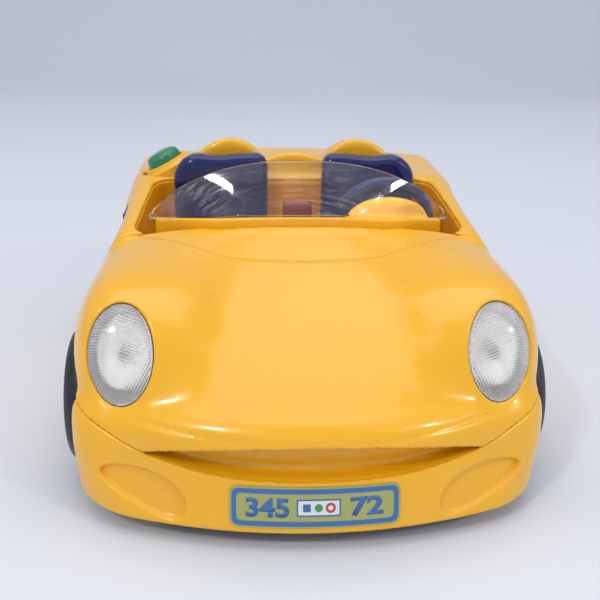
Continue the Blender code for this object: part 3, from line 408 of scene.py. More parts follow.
# ---------------------------------------------------------------- meshing
def surface_nets(field, low, high, cell):
    """(points, quads) of a field's zero surface, one point in each grid cell that it crosses."""
    low = np.array(low, float)
    blocks = np.ceil((np.array(high) - low) / (cell * BLOCK)).astype(int)
    index = np.indices(blocks).reshape(3, -1).T
    centre = low + (index + 0.5) * cell * BLOCK
    near = index[np.abs(field(*centre.T)) < 1.5 * cell * BLOCK]
    wanted = np.zeros(blocks * BLOCK + 1, bool)
    for step in np.ndindex(BLOCK + 1, BLOCK + 1, BLOCK + 1):
        wanted[tuple((near * BLOCK + step).T)] = True
    values = np.full(wanted.shape, np.nan, np.float32)
    values[wanted] = field(*(low + np.argwhere(wanted) * cell).T)
    inside, known = values < 0, ~np.isnan(values)

    corners = [np.array(step) for step in np.ndindex(2, 2, 2)]
    size = np.array(values.shape) - 1

    def at_corner(array, step):
        return array[tuple(slice(s, s + n) for s, n in zip(step, size))]

    count = sum(at_corner(inside, step).astype(np.int8) for step in corners)
    whole = np.logical_and.reduce([at_corner(known, step) for step in corners])
    cells = np.argwhere(whole & (count > 0) & (count < 8))
    held = np.stack([values[tuple((cells + step).T)] for step in corners], 1).astype(float)
    total, hits = np.zeros((len(cells), 3)), np.zeros(len(cells))
    for i, first in enumerate(corners):
        for j, second in enumerate(corners):
            if i < j and np.abs(first - second).sum() == 1:
                crossed = (held[:, i] < 0) != (held[:, j] < 0)
                share = np.where(crossed, held[:, i] / np.where(crossed, held[:, i] - held[:, j], 1), 0)
                total += crossed[:, None] * (first + share[:, None] * (second - first))
                hits += crossed
    points = low + (cells + total / hits[:, None]) * cell

    number = np.full(size, -1, np.int64)
    number[tuple(cells.T)] = np.arange(len(cells))
    quads = []
    for axis in range(3):
        b, c = [a for a in range(3) if a != axis]
        ahead = [slice(None)] * 3
        behind = [slice(None)] * 3
        ahead[axis], behind[axis] = slice(1, None), slice(None, -1)
        start = inside[tuple(behind)]
        crossing = (start != inside[tuple(ahead)]) & known[tuple(behind)] & known[tuple(ahead)]
        place = np.argwhere(crossing)
        within = (place[:, b] > 0) & (place[:, c] > 0) & (place[:, b] < size[b]) & (place[:, c] < size[c])
        place = place[within]
        step_b, step_c = np.eye(3, dtype=int)[b], np.eye(3, dtype=int)[c]
        ring = [place, place - step_b, place - step_b - step_c, place - step_c]
        quad = np.stack([number[tuple(corner.T)] for corner in ring], 1)
        outward = start[tuple(place.T)] == (axis != 1)
        quad = np.where(outward[:, None], quad, quad[:, ::-1])
        quads.append(quad[(quad >= 0).all(1)])
    for _ in range(3):
        value = field(*points.T)
        slope = np.stack(
            [field(*(points + 0.05 * e).T) - field(*(points - 0.05 * e).T) for e in np.eye(3)], 1
        ) / 0.1
        move = value[:, None] * slope / np.maximum((slope**2).sum(1), 0.05)[:, None]
        reach = np.linalg.norm(move, axis=1)[:, None]
        points = points - move * np.minimum(1, 0.5 * cell / np.maximum(reach, 1e-9))
    return points, np.concatenate(quads)


def mesh_of(name, points, faces):
    """A mesh from points in millimetres."""
    mesh = bpy.data.meshes.new(name)
    places = (np.asarray(points) * MM).tolist()
    mesh.from_pydata(places, [], [tuple(face) for face in np.asarray(faces).tolist()])
    mesh.shade_smooth()
    return mesh


def piece(name, mesh, material, rides="car_body", replaces=(), at=(0, 0, 0), turn=(0, 0, 0)):
    """Adds a visible piece that moves with a body and stands for the named nodes."""
    made = bpy.data.objects.new(name, mesh)
    bpy.context.scene.collection.objects.link(made)
    made.location = Vector(at) * MM
    made.rotation_euler = [math.radians(angle) for angle in turn]
    mesh.materials.clear()
    mesh.materials.append(material)
    bpy.context.view_layer.update()
    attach(made, rides)
    if replaces:
        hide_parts(*replaces)
    return made


def grid_faces(rows, columns, wrap_rows=False, wrap_columns=False):
    faces = []
    for i in range(rows if wrap_rows else rows - 1):
        for j in range(columns if wrap_columns else columns - 1):
            up, right = (i + 1) % rows, (j + 1) % columns
            faces.append((i * columns + j, i * columns + right, up * columns + right, up * columns + j))
    return faces


def rounded(profile, radius, closed=False, steps=4):
    """An outline of (r, h) points with each inner corner turned into an arc."""
    points = [np.array(p, float) for p in profile]
    count, out = len(points), []
    for i, corner in enumerate(points):
        if not closed and i in (0, count - 1):
            out.append(corner)
            continue
        back, ahead = points[i - 1] - corner, points[(i + 1) % count] - corner
        room = min(radius, np.linalg.norm(back) * 0.45, np.linalg.norm(ahead) * 0.45)
        start = corner + back / np.linalg.norm(back) * room
        end = corner + ahead / np.linalg.norm(ahead) * room
        for t in np.linspace(0, 1, steps + 1):
            out.append((1 - t) ** 2 * start + 2 * t * (1 - t) * corner + t * t * end)
    return np.array(out)


def lathe(profile, sides=64, axis="Z", closed=False, shape=None):
    """(points, faces) of a profile of (radius, height) turned about an axis, then reshaped."""
    profile = np.array(profile, float)
    turn = np.linspace(0, 2 * math.pi, sides, endpoint=False)
    radius, height = profile[:, 0][None], profile[:, 1][None]
    radius, height, angle = np.broadcast_arrays(radius, height, turn[:, None])
    if shape:
        radius, height = shape(radius, height, angle)
    a, b = radius * np.cos(angle), radius * np.sin(angle)
    order = {"Z": (a, b, height), "X": (height, a, b), "Y": (b, height, a)}[axis]
    points = np.stack(order, -1).reshape(-1, 3)
    return points, grid_faces(sides, len(profile), wrap_rows=True, wrap_columns=closed)


def clean(mesh):
    """Joins doubled points on the axis and turns the faces outwards."""
    bm = bmesh.new()
    bm.from_mesh(mesh)
    bmesh.ops.remove_doubles(bm, verts=bm.verts, dist=1e-6)
    bmesh.ops.recalc_face_normals(bm, faces=bm.faces)
    bm.to_mesh(mesh)
    bm.free()
    mesh.shade_smooth()
    return mesh


def bevelled(obj, width, segments=3, angle=35):
    made = obj.modifiers.new("edges", "BEVEL")
    made.width = width * MM
    made.segments = segments
    made.limit_method = "ANGLE"
    made.angle_limit = math.radians(angle)
    made.harden_normals = False
    return obj


# ---------------------------------------------------------------- materials
class Nodes:
    """Short names for the nodes of a material being made."""

    def __init__(self, name):
        self.material = bpy.data.materials.new(name)
        self.material.use_nodes = True
        self.tree = self.material.node_tree
        self.shader = self.tree.nodes["Principled BSDF"]
        self.place = self.add("ShaderNodeTexCoord").outputs["Object"]

    def add(self, kind, **inputs):
        node = self.tree.nodes.new(kind)
        for key, value in inputs.items():
            self.feed(node.inputs[key.replace("_", " ")], value)
        return node

    def feed(self, socket, value):
        if isinstance(value, bpy.types.NodeSocket):
            self.tree.links.new(value, socket)
        else:
            socket.default_value = value

    def noise(self, scale, detail=3.0, rough=0.5, stretch=(1, 1, 1), turn=(0, 0, 0)):
        mapping = self.add("ShaderNodeMapping", Vector=self.place, Scale=stretch, Rotation=turn)
        return self.add(
            "ShaderNodeTexNoise", Vector=mapping.outputs[0], Scale=scale, Detail=detail, Roughness=rough
        ).outputs[0]

    def band(self, value, low, high, to_low=0.0, to_high=1.0):
        node = self.add("ShaderNodeMapRange", Value=value)
        for key, number in (("From Min", low), ("From Max", high), ("To Min", to_low), ("To Max", to_high)):
            node.inputs[key].default_value = number
        return node.outputs[0]

    def math(self, operation, a, b=0.5):
        node = self.tree.nodes.new("ShaderNodeMath")
        node.operation = operation
        self.feed(node.inputs[0], a)
        self.feed(node.inputs[1], b)
        return node.outputs[0]

    def mix(self, factor, a, b):
        node = self.tree.nodes.new("ShaderNodeMix")
        node.data_type = "RGBA"
        self.feed(node.inputs[0], factor)
        self.feed(node.inputs[6], a)
        self.feed(node.inputs[7], b)
        return node.outputs[2]

    def specks(self, scale, size, share):
        """Small round specks, one in a share of cells."""
        cells = self.add("ShaderNodeTexVoronoi", Vector=self.place, Scale=scale)
        near = self.band(cells.outputs["Distance"], size * 0.6, size, 1, 0)
        chosen = self.band(cells.outputs["Color"], 1 - share, 1 - share + 0.01)
        return self.math("MULTIPLY", near, chosen)

    def scratches(self, share=0.62):
        """Two crossing sets of hairlines, in patches."""
        lines = []
        for turn in ((0.3, 0.2, 0.7), (1.1, 0.5, -0.6)):
            streak = self.noise(60, 2, 0.6, (1, 26, 3), turn)
            lines.append(self.band(streak, share, share + 0.03))
        either = self.math("MAXIMUM", lines[0], lines[1])
        return self.math("MULTIPLY", either, self.band(self.noise(38), 0.45, 0.62))

    def bump(self, height, distance, strength=1.0):
        node = self.add("ShaderNodeBump", Height=height, Strength=strength, Distance=distance)
        self.feed(self.shader.inputs["Normal"], node.outputs[0])

    def set(self, **values):
        for key, value in values.items():
            self.feed(self.shader.inputs[key.replace("_", " ")], value)
        return self


def rgba(colour, scale=1.0):
    return tuple(min(1.0, c * scale) for c in colour) + (1.0,)


def plastic(name, colour, roughness, soft=0.0, worn=0.5, coat=0.0, tone=0.08, grain=700):
    """Moulded plastic: colour drift, flow marks, hairlines, a few dark specks and a fine skin texture."""
    n = Nodes(name)
    drift = n.band(n.noise(14, 4), 0.3, 0.7)
    base = n.mix(drift, rgba(colour, 1 - tone), rgba(colour, 1 + tone * 0.6))
    flow = n.band(n.noise(30, 5, 0.6, (1, 5, 1)), 0.45, 0.75, 0, 0.35)
    base = n.mix(flow, base, rgba(colour, 1 - tone * 1.4))
    speck = n.specks(95, 0.035, 0.22)
    base = n.mix(n.math("MULTIPLY", speck, 0.75), base, rgba((0.16, 0.08, 0.02)))
    lines = n.math("MULTIPLY", n.scratches(), worn)
    base = n.mix(n.math("MULTIPLY", lines, 0.25), base, rgba((0.9, 0.85, 0.75)))
    rough = n.band(n.noise(55, 5, 0.65), 0.3, 0.75, roughness * 0.75, roughness * 1.35)
    rough = n.math("ADD", rough, n.math("MULTIPLY", lines, 0.22))
    n.set(Base_Color=base, Roughness=rough, Coat_Weight=coat, Coat_Roughness=0.06, IOR=1.5)
    if soft:
        n.set(Subsurface_Weight=soft, Subsurface_Radius=(0.006, 0.0028, 0.0008), Subsurface_Scale=1.0)
    fine = n.math("ADD", n.noise(grain, 2), n.math("MULTIPLY", lines, -0.6))
    n.bump(fine, 0.00005, 0.35)
    return n.material


def metal(name, colour, roughness, stretch=(1, 1, 30), shine=1.0):
    """Metal or a metal-like coat with fine lines and faint stains; shine is how metallic it is."""
    n = Nodes(name)
    lines = n.noise(260, 3, 0.6, stretch)
    base = n.mix(n.band(n.noise(45, 4), 0.35, 0.7), rgba(colour), rgba(colour, 0.78))
    rough = n.band(lines, 0.3, 0.7, roughness * 0.7, roughness * 1.4)
    n.set(Base_Color=base, Metallic=shine, Roughness=rough)
    n.bump(lines, 0.00004, 0.4)
    return n.material


def rubber(name, colour):
    """Tyre rubber, a little dusty, with a matt grain."""
    n = Nodes(name)
    dust = n.band(n.noise(60, 6, 0.7), 0.5, 0.78, 0, 0.5)
    base = n.mix(dust, rgba(colour), rgba((0.11, 0.105, 0.1)))
    n.set(Base_Color=base, Roughness=n.band(n.noise(120, 4), 0.3, 0.7, 0.28, 0.5), IOR=1.52)
    n.bump(n.noise(900, 3), 0.00008, 0.4)
    return n.material


def clear(name, tint, roughness, haze, worn, frost=0.0):
    """Clear plastic with hairlines, haze and an even frost, which lets light through in its shadow."""
    n = Nodes(name)
    lines = n.math("MULTIPLY", n.scratches(0.6), worn)
    cloud = n.band(n.noise(26, 5, 0.6), 0.42, 0.75, 0, haze)
    veil = n.math("MINIMUM", n.math("ADD", n.math("ADD", lines, cloud), frost), 0.9)
    rough = n.band(veil, 0, 1, roughness, 0.55)
    n.set(Base_Color=rgba(tint), Roughness=rough, IOR=1.46)
    n.set(Transmission_Weight=n.band(veil, 0, 1, 1.0, 0.25))
    n.bump(n.math("ADD", n.noise(24, 3), n.math("MULTIPLY", lines, -0.5)), 0.00004, 0.35)
    pass_light = n.add("ShaderNodeBsdfTransparent", Color=rgba(tint, 0.97))
    rays = n.add("ShaderNodeLightPath")
    mixed = n.tree.nodes.new("ShaderNodeMixShader")
    n.feed(mixed.inputs[0], rays.outputs["Is Shadow Ray"])
    n.feed(mixed.inputs[1], n.shader.outputs[0])
    n.feed(mixed.inputs[2], pass_light.outputs[0])
    n.feed(n.tree.nodes["Material Output"].inputs["Surface"], mixed.outputs[0])
    return n.material


def printed(name, colour):
    """Printed film: flat ink with a faint dot grain and rubbed patches."""
    n = Nodes(name)
    rub = n.band(n.noise(160, 5, 0.7), 0.55, 0.8, 0, 0.35)
    dots = n.band(n.noise(1500, 1), 0.4, 0.6, 0, 0.08)
    base = n.mix(n.math("ADD", rub, dots), rgba(colour), rgba(tuple(c * 0.7 + 0.08 for c in colour)))
    n.set(Base_Color=base, Roughness=n.band(n.noise(90, 4), 0.3, 0.7, 0.26, 0.42))
    n.bump(n.noise(500, 2), 0.00004, 0.3)
    return n.material


YELLOW = plastic("yellow_plastic", (0.95, 0.47, 0.009), 0.24, soft=0.12, worn=0.12, coat=0.25, tone=0.04)
# The cockpit tray is a deeper orange copy of the body's yellow plastic: painted shade for the inside of the
# cockpit well.
TRAY_PAINTED_SHADE = plastic("cockpit_plastic_painted_shade", (1.0, 0.36, 0.006), 0.3, soft=0.25, worn=0.12, coat=0.1, tone=0.04)
NAVY = plastic("navy_plastic", (0.004, 0.012, 0.11), 0.16, worn=0.3, coat=0.1, tone=0.12)
RED = plastic("red_plastic", (0.21, 0.018, 0.016), 0.22, worn=0.5, coat=0.3, tone=0.12)
GREEN = plastic("green_plastic", (0.012, 0.2, 0.085), 0.24, soft=0.05, worn=0.4, coat=0.2, tone=0.1)
BLACK = plastic("black_plastic", (0.012, 0.012, 0.014), 0.42, worn=0.8, tone=0.2, grain=1600)
GREY = plastic("grey_plastic", (0.1, 0.1, 0.11), 0.45, worn=0.5, tone=0.1, grain=1500)
WHITE = plastic("white_plastic", (0.72, 0.71, 0.67), 0.38, soft=0.1, worn=0.3, tone=0.05)
BOARD = plastic("circuit_board", (0.01, 0.09, 0.035), 0.35, worn=0.4, tone=0.2)
JACKET = plastic("battery_jacket", (0.02, 0.14, 0.07), 0.25, worn=0.5, coat=0.3, tone=0.1)
STEEL = metal("steel", (0.56, 0.56, 0.58), 0.28)
BRASS = metal("brass", (0.66, 0.46, 0.16), 0.3)
SILVER = metal("silvered_plastic", (0.98, 0.98, 0.98), 0.3, (1, 1, 1), 0.1)
RUBBER = rubber("rubber", (0.008, 0.01, 0.014))
SCREEN = clear("clear_screen", (0.97, 0.98, 0.99), 0.03, 0.05, 0.15)
LENS = clear("clear_lens", (1.0, 1.0, 1.0), 0.05, 0.2, 0.1, 0.22)
RED_LENS = plastic("clear_red_plastic", (0.42, 0.01, 0.008), 0.12, soft=0.3, worn=0.3, coat=0.5)
LABEL_FIELD = printed("label_field", (0.38, 0.4, 0.12))
LABEL_BLUE = printed("label_blue", (0.045, 0.15, 0.4))
LABEL_WHITE = printed("label_white", (0.75, 0.77, 0.74))
LABEL_RED = printed("label_red", (0.55, 0.04, 0.05))
LABEL_GREEN = printed("label_green", (0.05, 0.3, 0.12))


# ---------------------------------------------------------------- body mouldings
def moulded(name, field, low, high, cell, material, node, slot="yellow_plastic"):
    """A field meshed between two corners, in place of the frame's node."""
    points, quads = surface_nets(field, low, high, cell * FINE)
    return piece(name, mesh_of(name, points, quads), material, "car_body", [node])


for moulding in (
    ("hood_moulding", clamshell_field, (-90, -136, 4), (90, -19, 92), 0.9, YELLOW, "front_clamshell"),
    ("bumper_moulding", bumper_field, (-90, -141, 4), (90, -72, 44), 0.8, YELLOW, "front_bumper"),
    ("tub_moulding", tub_field, (-91, -34, 4), (91, 142, 113), 1.05, YELLOW, "rear_tub"),
    ("tray_moulding", tray_field, (-78, -34, 30), (78, 38, 108), 1.1, TRAY_PAINTED_SHADE, "cockpit_tray"),
    ("dash_moulding", dash_field, (-64, -40, 70), (64, -12, 98), 0.7, YELLOW, "dashboard"),
):
    moulded(*moulding)
for side, sign in (("left", 1), ("right", -1)):
    x_range = sorted((sign * 50, sign * 84))
    moulded(
        f"headlight_cover_{side}", lens_field, (x_range[0], -118, 38), (x_range[1], -84, 80), 0.23, LENS,
        f"headlight_lens_{side}", "clear_plastic",
    )
    x_range = sorted((sign * 43, sign * 71))
    moulded(
        f"tail_cover_{side}", tail_field, (x_range[0], 108, 40), (x_range[1], 142, 60), 0.4, RED_LENS,
        f"tail_light_{side}", "clear_red_plastic",
    )


# ---------------------------------------------------------------- lamps
def lamp_insides(side, sign):
    """A fluted bowl and a bulb behind the clear cover."""
    at = (sign * LAMP_CENTRE[0], LAMP_CENTRE[1], LAMP_CENTRE[2])
    turn = (-LAMP_TILT, 0, 0)
    inside = [(0.12, 11.2), (0.4, 10.5), (0.75, 8.6), (0.86, 6.8)]
    outside = [(0.95, 6.8), (0.86, 9.2), (0.45, 11.7), (0.12, 12.4)]
    bowl = rounded(inside + outside, 0.4, True)

    def flutes(radius, height, angle):
        wave = 0.16 * np.cos(angle * 24) * smooth_step((radius - 0.2) / 0.4)
        return radius, height + wave

    points, faces = lathe(bowl, 192, "Y", True, flutes)
    points *= (LAMP_RADII[0] - 1.8, 1, LAMP_RADII[1] - 4.8)
    piece(
        f"lamp_bowl_{side}", clean(mesh_of("bowl", points, faces)), SILVER, "car_body",
        [f"headlight_reflector_{side}"], at, turn,
    )
    glass = rounded([(0, 5), (1.6, 5.5), (2.3, 7), (1.9, 9), (1.9, 12), (0, 12)], 0.6)
    points, faces = lathe(glass, 40, "Y")
    piece(
        f"lamp_bulb_{side}", clean(mesh_of("bulb", points, faces)), GREY, "car_body",
        [f"headlight_bulb_{side}"], at, turn,
    )


for side, sign in (("left", 1), ("right", -1)):
    lamp_insides(side, sign)


# ---------------------------------------------------------------- windscreen
def screen_point(u, v):
    """A point of the screen's middle surface: u from side to side, v from the dash up to the top edge."""
    x = SCREEN_HALF * u
    base_y = step_line(x) + SCREEN_BEHIND
    beside = smooth_step((np.abs(u) - 0.957) / 0.008)
    crest = DASH_CREST_Z - (base_y - DASH_CREST_Y) * math.tan(math.radians(DASH_SLOPE))
    ground = surface_z(np.abs(x), base_y)
    base = np.stack([x, base_y, np.minimum(ground + DASH_STEP * (1 - beside), crest) + 0.4], -1)
    top = np.stack([x, -22.5 + 2.5 * u * u, 82 + 28.4 * (1 - np.abs(u) ** 2.3) ** 0.65], -1)
    top[..., 2] = np.maximum(top[..., 2], base[..., 2] + 2)
    rise = (top[..., 2] - base[..., 2]) / 23
    middle = base + v[..., None] * (top - base)
    middle[..., 1] -= 3 * v * (1 - v) * rise
    return middle


def make_screen():
    """The sheet, with its columns closest together towards its ends."""
    columns = 0.985 * np.sin(np.linspace(-math.pi / 2, math.pi / 2, 121))
    u, v = np.meshgrid(columns, np.linspace(0, 1, 33), indexing="ij")
    points = screen_point(u, v).reshape(-1, 3)
    mesh = mesh_of("screen", points, grid_faces(*u.shape))
    made = piece("windscreen_sheet", mesh, SCREEN, "car_body", ["windscreen"])
    thick = made.modifiers.new("thickness", "SOLIDIFY")
    thick.thickness = SCREEN_THICK * MM
    thick.offset = 0
    bevelled(made, 0.3, 2, 60)


make_screen()


# ---------------------------------------------------------------- seats
def make_seat(name, centre_x):
    low, high = (centre_x - 25, -12, 33), (centre_x + 25, 33, 104)
    points, quads = surface_nets(lambda x, y, z: seat_field(x, y, z, centre_x), low, high, 0.75 * FINE)
    piece(name + "_bucket", mesh_of(name, points, quads), NAVY, "car_body", [name])


make_seat("seat_left", 35)
make_seat("seat_right", -35)


# ---------------------------------------------------------------- number plate
def onto_bumper(x, z, lift):
    return np.stack([x, surface_y(np.abs(x), z) - lift, z], -1)


def plate_patch(name, outline_points, lift, depth, material, replaces=()):
    """A thin raised shape on the bumper, from rings in X and Z, cut finely enough to bend."""
    curve = bpy.data.curves.new(name, "CURVE")
    curve.dimensions = "2D"
    curve.fill_mode = "BOTH"
    for ring in outline_points:
        spline = curve.splines.new("POLY")
        spline.points.add(len(ring) - 1)
        spline.points.foreach_set("co", np.array([(x, z, 0, 1) for x, z in ring]).ravel())
        spline.use_cyclic_u = True
    bm = bmesh.new()
    bm.from_mesh(flattened(name, curve))
    faces = [face for face in bm.faces if abs(face.normal.z) > 0.5]
    bmesh.ops.delete(bm, geom=[face for face in bm.faces if face not in set(faces)], context="FACES")
    bmesh.ops.remove_doubles(bm, verts=bm.verts, dist=1e-4)
    low, high = (f([v.co.x for v in bm.verts]) for f in (min, max))
    for cut_x in np.arange(math.ceil(low / PLATE_STEP) * PLATE_STEP, high, PLATE_STEP):
        everything = bm.verts[:] + bm.edges[:] + bm.faces[:]
        bmesh.ops.bisect_plane(bm, geom=everything, plane_co=(cut_x, 0, 0), plane_no=(1, 0, 0))
    bmesh.ops.recalc_face_normals(bm, faces=bm.faces)
    return laid_on(name, bm, lift, depth, material, replaces)


def flattened(name, curve):
    """The flat mesh of a curve or text."""
    helper = bpy.data.objects.new(name, curve)
    bpy.context.scene.collection.objects.link(helper)
    bpy.context.view_layer.update()
    flat = bpy.data.meshes.new_from_object(helper.evaluated_get(bpy.context.evaluated_depsgraph_get()))
    bpy.data.objects.remove(helper)
    return flat


def laid_on(name, bm, lift, depth, material, replaces=()):
    """Lays flat faces, in millimetres, on the bumper and gives them a depth."""
    grown = bmesh.ops.extrude_face_region(bm, geom=bm.faces[:])["geom"]
    back = {vert for vert in grown if isinstance(vert, bmesh.types.BMVert)}
    places = np.array([vert.co[:] for vert in bm.verts])
    lifts = np.array([lift - depth if vert in back else lift for vert in bm.verts])
    for vert, place in zip(bm.verts, onto_bumper(places[:, 0], places[:, 1], lifts)):
        vert.co = place * MM
    bmesh.ops.recalc_face_normals(bm, faces=bm.faces)
    mesh = bpy.data.meshes.new(name)
    bm.to_mesh(mesh)
    bm.free()
    return piece(name, mesh, material, "car_body", replaces)


def rounded_box(centre, half_x, half_z, radius):
    corners = [(half_x, half_z), (-half_x, half_z), (-half_x, -half_z), (half_x, -half_z)]
    return [(centre[0] + x, centre[1] + z) for x, z in rounded(corners, radius, True, 8)]


def disc(centre, radius, sides=40):
    turn = np.linspace(0, 2 * math.pi, sides, endpoint=False)
    return [(centre[0] + radius * math.cos(a), centre[1] + radius * math.sin(a)) for a in turn]


def digits(name, text, centre, height, width):
    """Plain upright digits, fitted to a height and width."""
    curve = bpy.data.curves.new(name, "FONT")
    curve.body = text
    curve.offset = 0.035
    curve.align_x, curve.align_y = "CENTER", "CENTER"
    flat = flattened(name, curve)
    places = np.array([vert.co[:] for vert in flat.vertices])
    low, high = places.min(0), places.max(0)
    middle, size = (low + high) / 2, high - low
    places = (places - middle) / (size[0], size[1], 1) * (width, height, 1) + (centre[0], centre[1], 0)
    flat.vertices.foreach_set("co", places.ravel())
    return flat


def number(name, text, centre_x, width, middle_z):
    """Digits of the plate's one height, laid on the bumper."""
    flat = digits(name[-1], text, (centre_x, middle_z), 6.6, width)
    bm = bmesh.new()
    bm.from_mesh(flat)
    bmesh.ops.remove_doubles(bm, verts=bm.verts, dist=1e-4)
    return laid_on(name, bm, INK_LIFT, INK_DEPTH, LABEL_BLUE)


def make_plate():
    """A sticker: a field, a border, two numbers, and a tile with a square, a dot and a ring."""
    middle = (0, sum(PLATE_EDGES) / 2)
    half_z = (PLATE_EDGES[1] - PLATE_EDGES[0]) / 2
    film = [rounded_box(middle, 28.8, half_z - 0.1, 3)]
    plate_patch("plate_film", film, 0.6, 0.5, LABEL_FIELD, ["number_plate"])
    border = [rounded_box(middle, 28.2, half_z - 0.7, 2.8), rounded_box(middle, 26.6, half_z - 2.3, 1.8)]
    plate_patch("plate_border", border, INK_LIFT, INK_DEPTH, LABEL_BLUE)
    number("plate_digits_a", "345", -16.2, 14.6, middle[1])
    number("plate_digits_b", "72", 17.3, 11.4, middle[1])
    tile = (1.0, middle[1])
    ahead, behind = (tile[0] + 4.0, tile[1]), (tile[0] - 4.0, tile[1])
    edge = [rounded_box(tile, 7.4, 2.9, 0.5), rounded_box(tile, 6.9, 2.4, 0.3)]
    ring = [disc(ahead, 1.7), disc(ahead, 0.9)]
    plate_patch("plate_tile_edge", edge, INK_LIFT, INK_DEPTH, LABEL_BLUE)
    plate_patch("plate_tile", [rounded_box(tile, 7.0, 2.5, 0.3)], 0.65, INK_DEPTH, LABEL_WHITE)
    plate_patch("plate_ring", ring, MARK_LIFT, INK_DEPTH, LABEL_RED)
    plate_patch("plate_dot", [disc(tile, 1.35)], MARK_LIFT, INK_DEPTH, LABEL_GREEN)
    plate_patch("plate_square", [rounded_box(behind, 1.3, 1.3, 0.3)], MARK_LIFT, INK_DEPTH, LABEL_BLUE)


make_plate()


# ---------------------------------------------------------------- controls
def make_steering_wheel():
    """A grip with a wavy inner edge, a hub and three spokes."""
    ring_r, grip_r = 20.4, 2.4
    ring_turn = np.linspace(0, -2 * math.pi, 25)[:-1]
    ring = [(ring_r + grip_r * math.cos(a), grip_r * math.sin(a)) for a in ring_turn]

    def grips(radius, height, angle):
        notch = 0.22 * np.clip(np.cos(angle * 44), 0, 1) ** 2 * (height < 0)
        return radius - notch * (radius - ring_r) / grip_r, height + notch * 0.6

    points, faces = lathe(ring, 176, "Z", True, grips)
    bm = bmesh.new()
    bm.from_mesh(clean(mesh_of("ring", points, faces)))
    hub = rounded([(0, 1.2), (5.2, 1.0), (6.5, 0.2), (6.5, -3.2), (0, -3.2)], 0.7)
    hub_points, hub_faces = lathe(hub, 48)
    bm.from_mesh(clean(mesh_of("hub", hub_points, hub_faces)))
    spoke_turn = np.linspace(0, 2 * math.pi, 25)[:-1]
    for angle in (0, 180, 270):
        rows = []
        for t in np.linspace(0, 1, 13):
            reach = 4.5 + 14.5 * t
            half = 2.5 - 0.9 * math.sin(math.pi * t)
            rows.append([(reach, half * math.cos(a), -0.6 + 1.2 * math.sin(a)) for a in spoke_turn])
        spoke = np.array(rows).reshape(-1, 3)
        ends = [tuple(range(24)), tuple(range(12 * 24, 13 * 24))]
        spoke_faces = grid_faces(13, 24, wrap_columns=True) + ends
        mesh = bpy.data.meshes.new("spoke")
        mesh.from_pydata((spoke * MM).tolist(), [], spoke_faces)
        mesh.transform(Matrix.Rotation(math.radians(angle), 4, "Z"))
        bm.from_mesh(clean(mesh))
    mesh = bpy.data.meshes.new("steering_wheel_grip")
    bm.to_mesh(mesh)
    bm.free()
    mesh.shade_smooth()
    piece(
        "steering_wheel_grip", mesh, NAVY, "steering_wheel",
        ["steering_wheel"], WHEEL_PLACE, WHEEL_TURN,
    )


def make_lever():
    """A squared knob on a stick that stands in a ball."""
    low, high = (-6.5, -4.5, 20), (6.5, 4.5, 32)
    points, quads = surface_nets(
        lambda x, y, z: cuboid(x, y, z, low, high, 2), np.array(low) - 1.5, np.array(high) + 1.5, 0.35
    )
    bm = bmesh.new()
    bm.from_mesh(mesh_of("knob", points, quads))
    stick = rounded([(0, -4), (2.8, -2.8), (4, 0), (2.8, 2.6), (2.4, 4), (2.4, 21), (0, 21)], 0.8)
    points, faces = lathe(stick, 40)
    bm.from_mesh(clean(mesh_of("stick", points, faces)))
    mesh = bpy.data.meshes.new("gear_lever_stick")
    bm.to_mesh(mesh)
    bm.free()
    mesh.shade_smooth()
    piece("gear_lever_stick", mesh, RED, "gear_lever", ["gear_lever"], (0, 0, 56))


def make_button():
    """A collar on the rear wing and the press button in it."""
    inside, lip = [(0, -11), (9, -11), (9, 1.6)], [(10.8, 1.6), (11.2, 0)]
    cup = rounded(inside + lip + [(13, -1), (13, -12.5), (0, -12.5)], 0.6)
    points, faces = lathe(cup, 96)
    piece(
        "button_collar", clean(mesh_of("collar", points, faces)), YELLOW, "car_body",
        ["button_boss"], BOSS_PLACE, BOSS_TURN,
    )
    cap = rounded([(0, 7), (4.4, 6.8), (7.2, 5.9), (8.4, 4.2), (8.5, 2.6), (8.5, -3.8), (0, -3.8)], 1.2)
    points, faces = lathe(cap, 96)
    piece(
        "button_cap", clean(mesh_of("cap", points, faces)), GREEN, "sound_button",
        ["sound_button"], BOSS_PLACE, BOSS_TURN,
    )


make_steering_wheel()
make_lever()
make_button()


# ---------------------------------------------------------------- wheels
def tyre_shape(radius, height, angle):
    """Two shallow rain grooves round a smooth tread, and a ring on each side wall."""
    tread = smooth_step((radius - 26) / 1.2)
    groove = smooth_step(1 - np.abs(np.abs(height) - 3.4) / 0.8)
    ring = smooth_step(1 - np.abs(radius - 22.4) / 0.7) * (np.abs(height) > 9)
    return radius - 0.5 * tread * groove, height - np.sign(height) * 0.35 * ring


def subdivided(outline, step):
    """A closed outline with points at most about a step apart."""
    fine = []
    for a, b in zip(outline, np.roll(outline, -1, axis=0)):
        pieces = max(1, int(np.linalg.norm(b - a) / step))
        fine += [a + (b - a) * k / pieces for k in range(pieces)]
    return fine


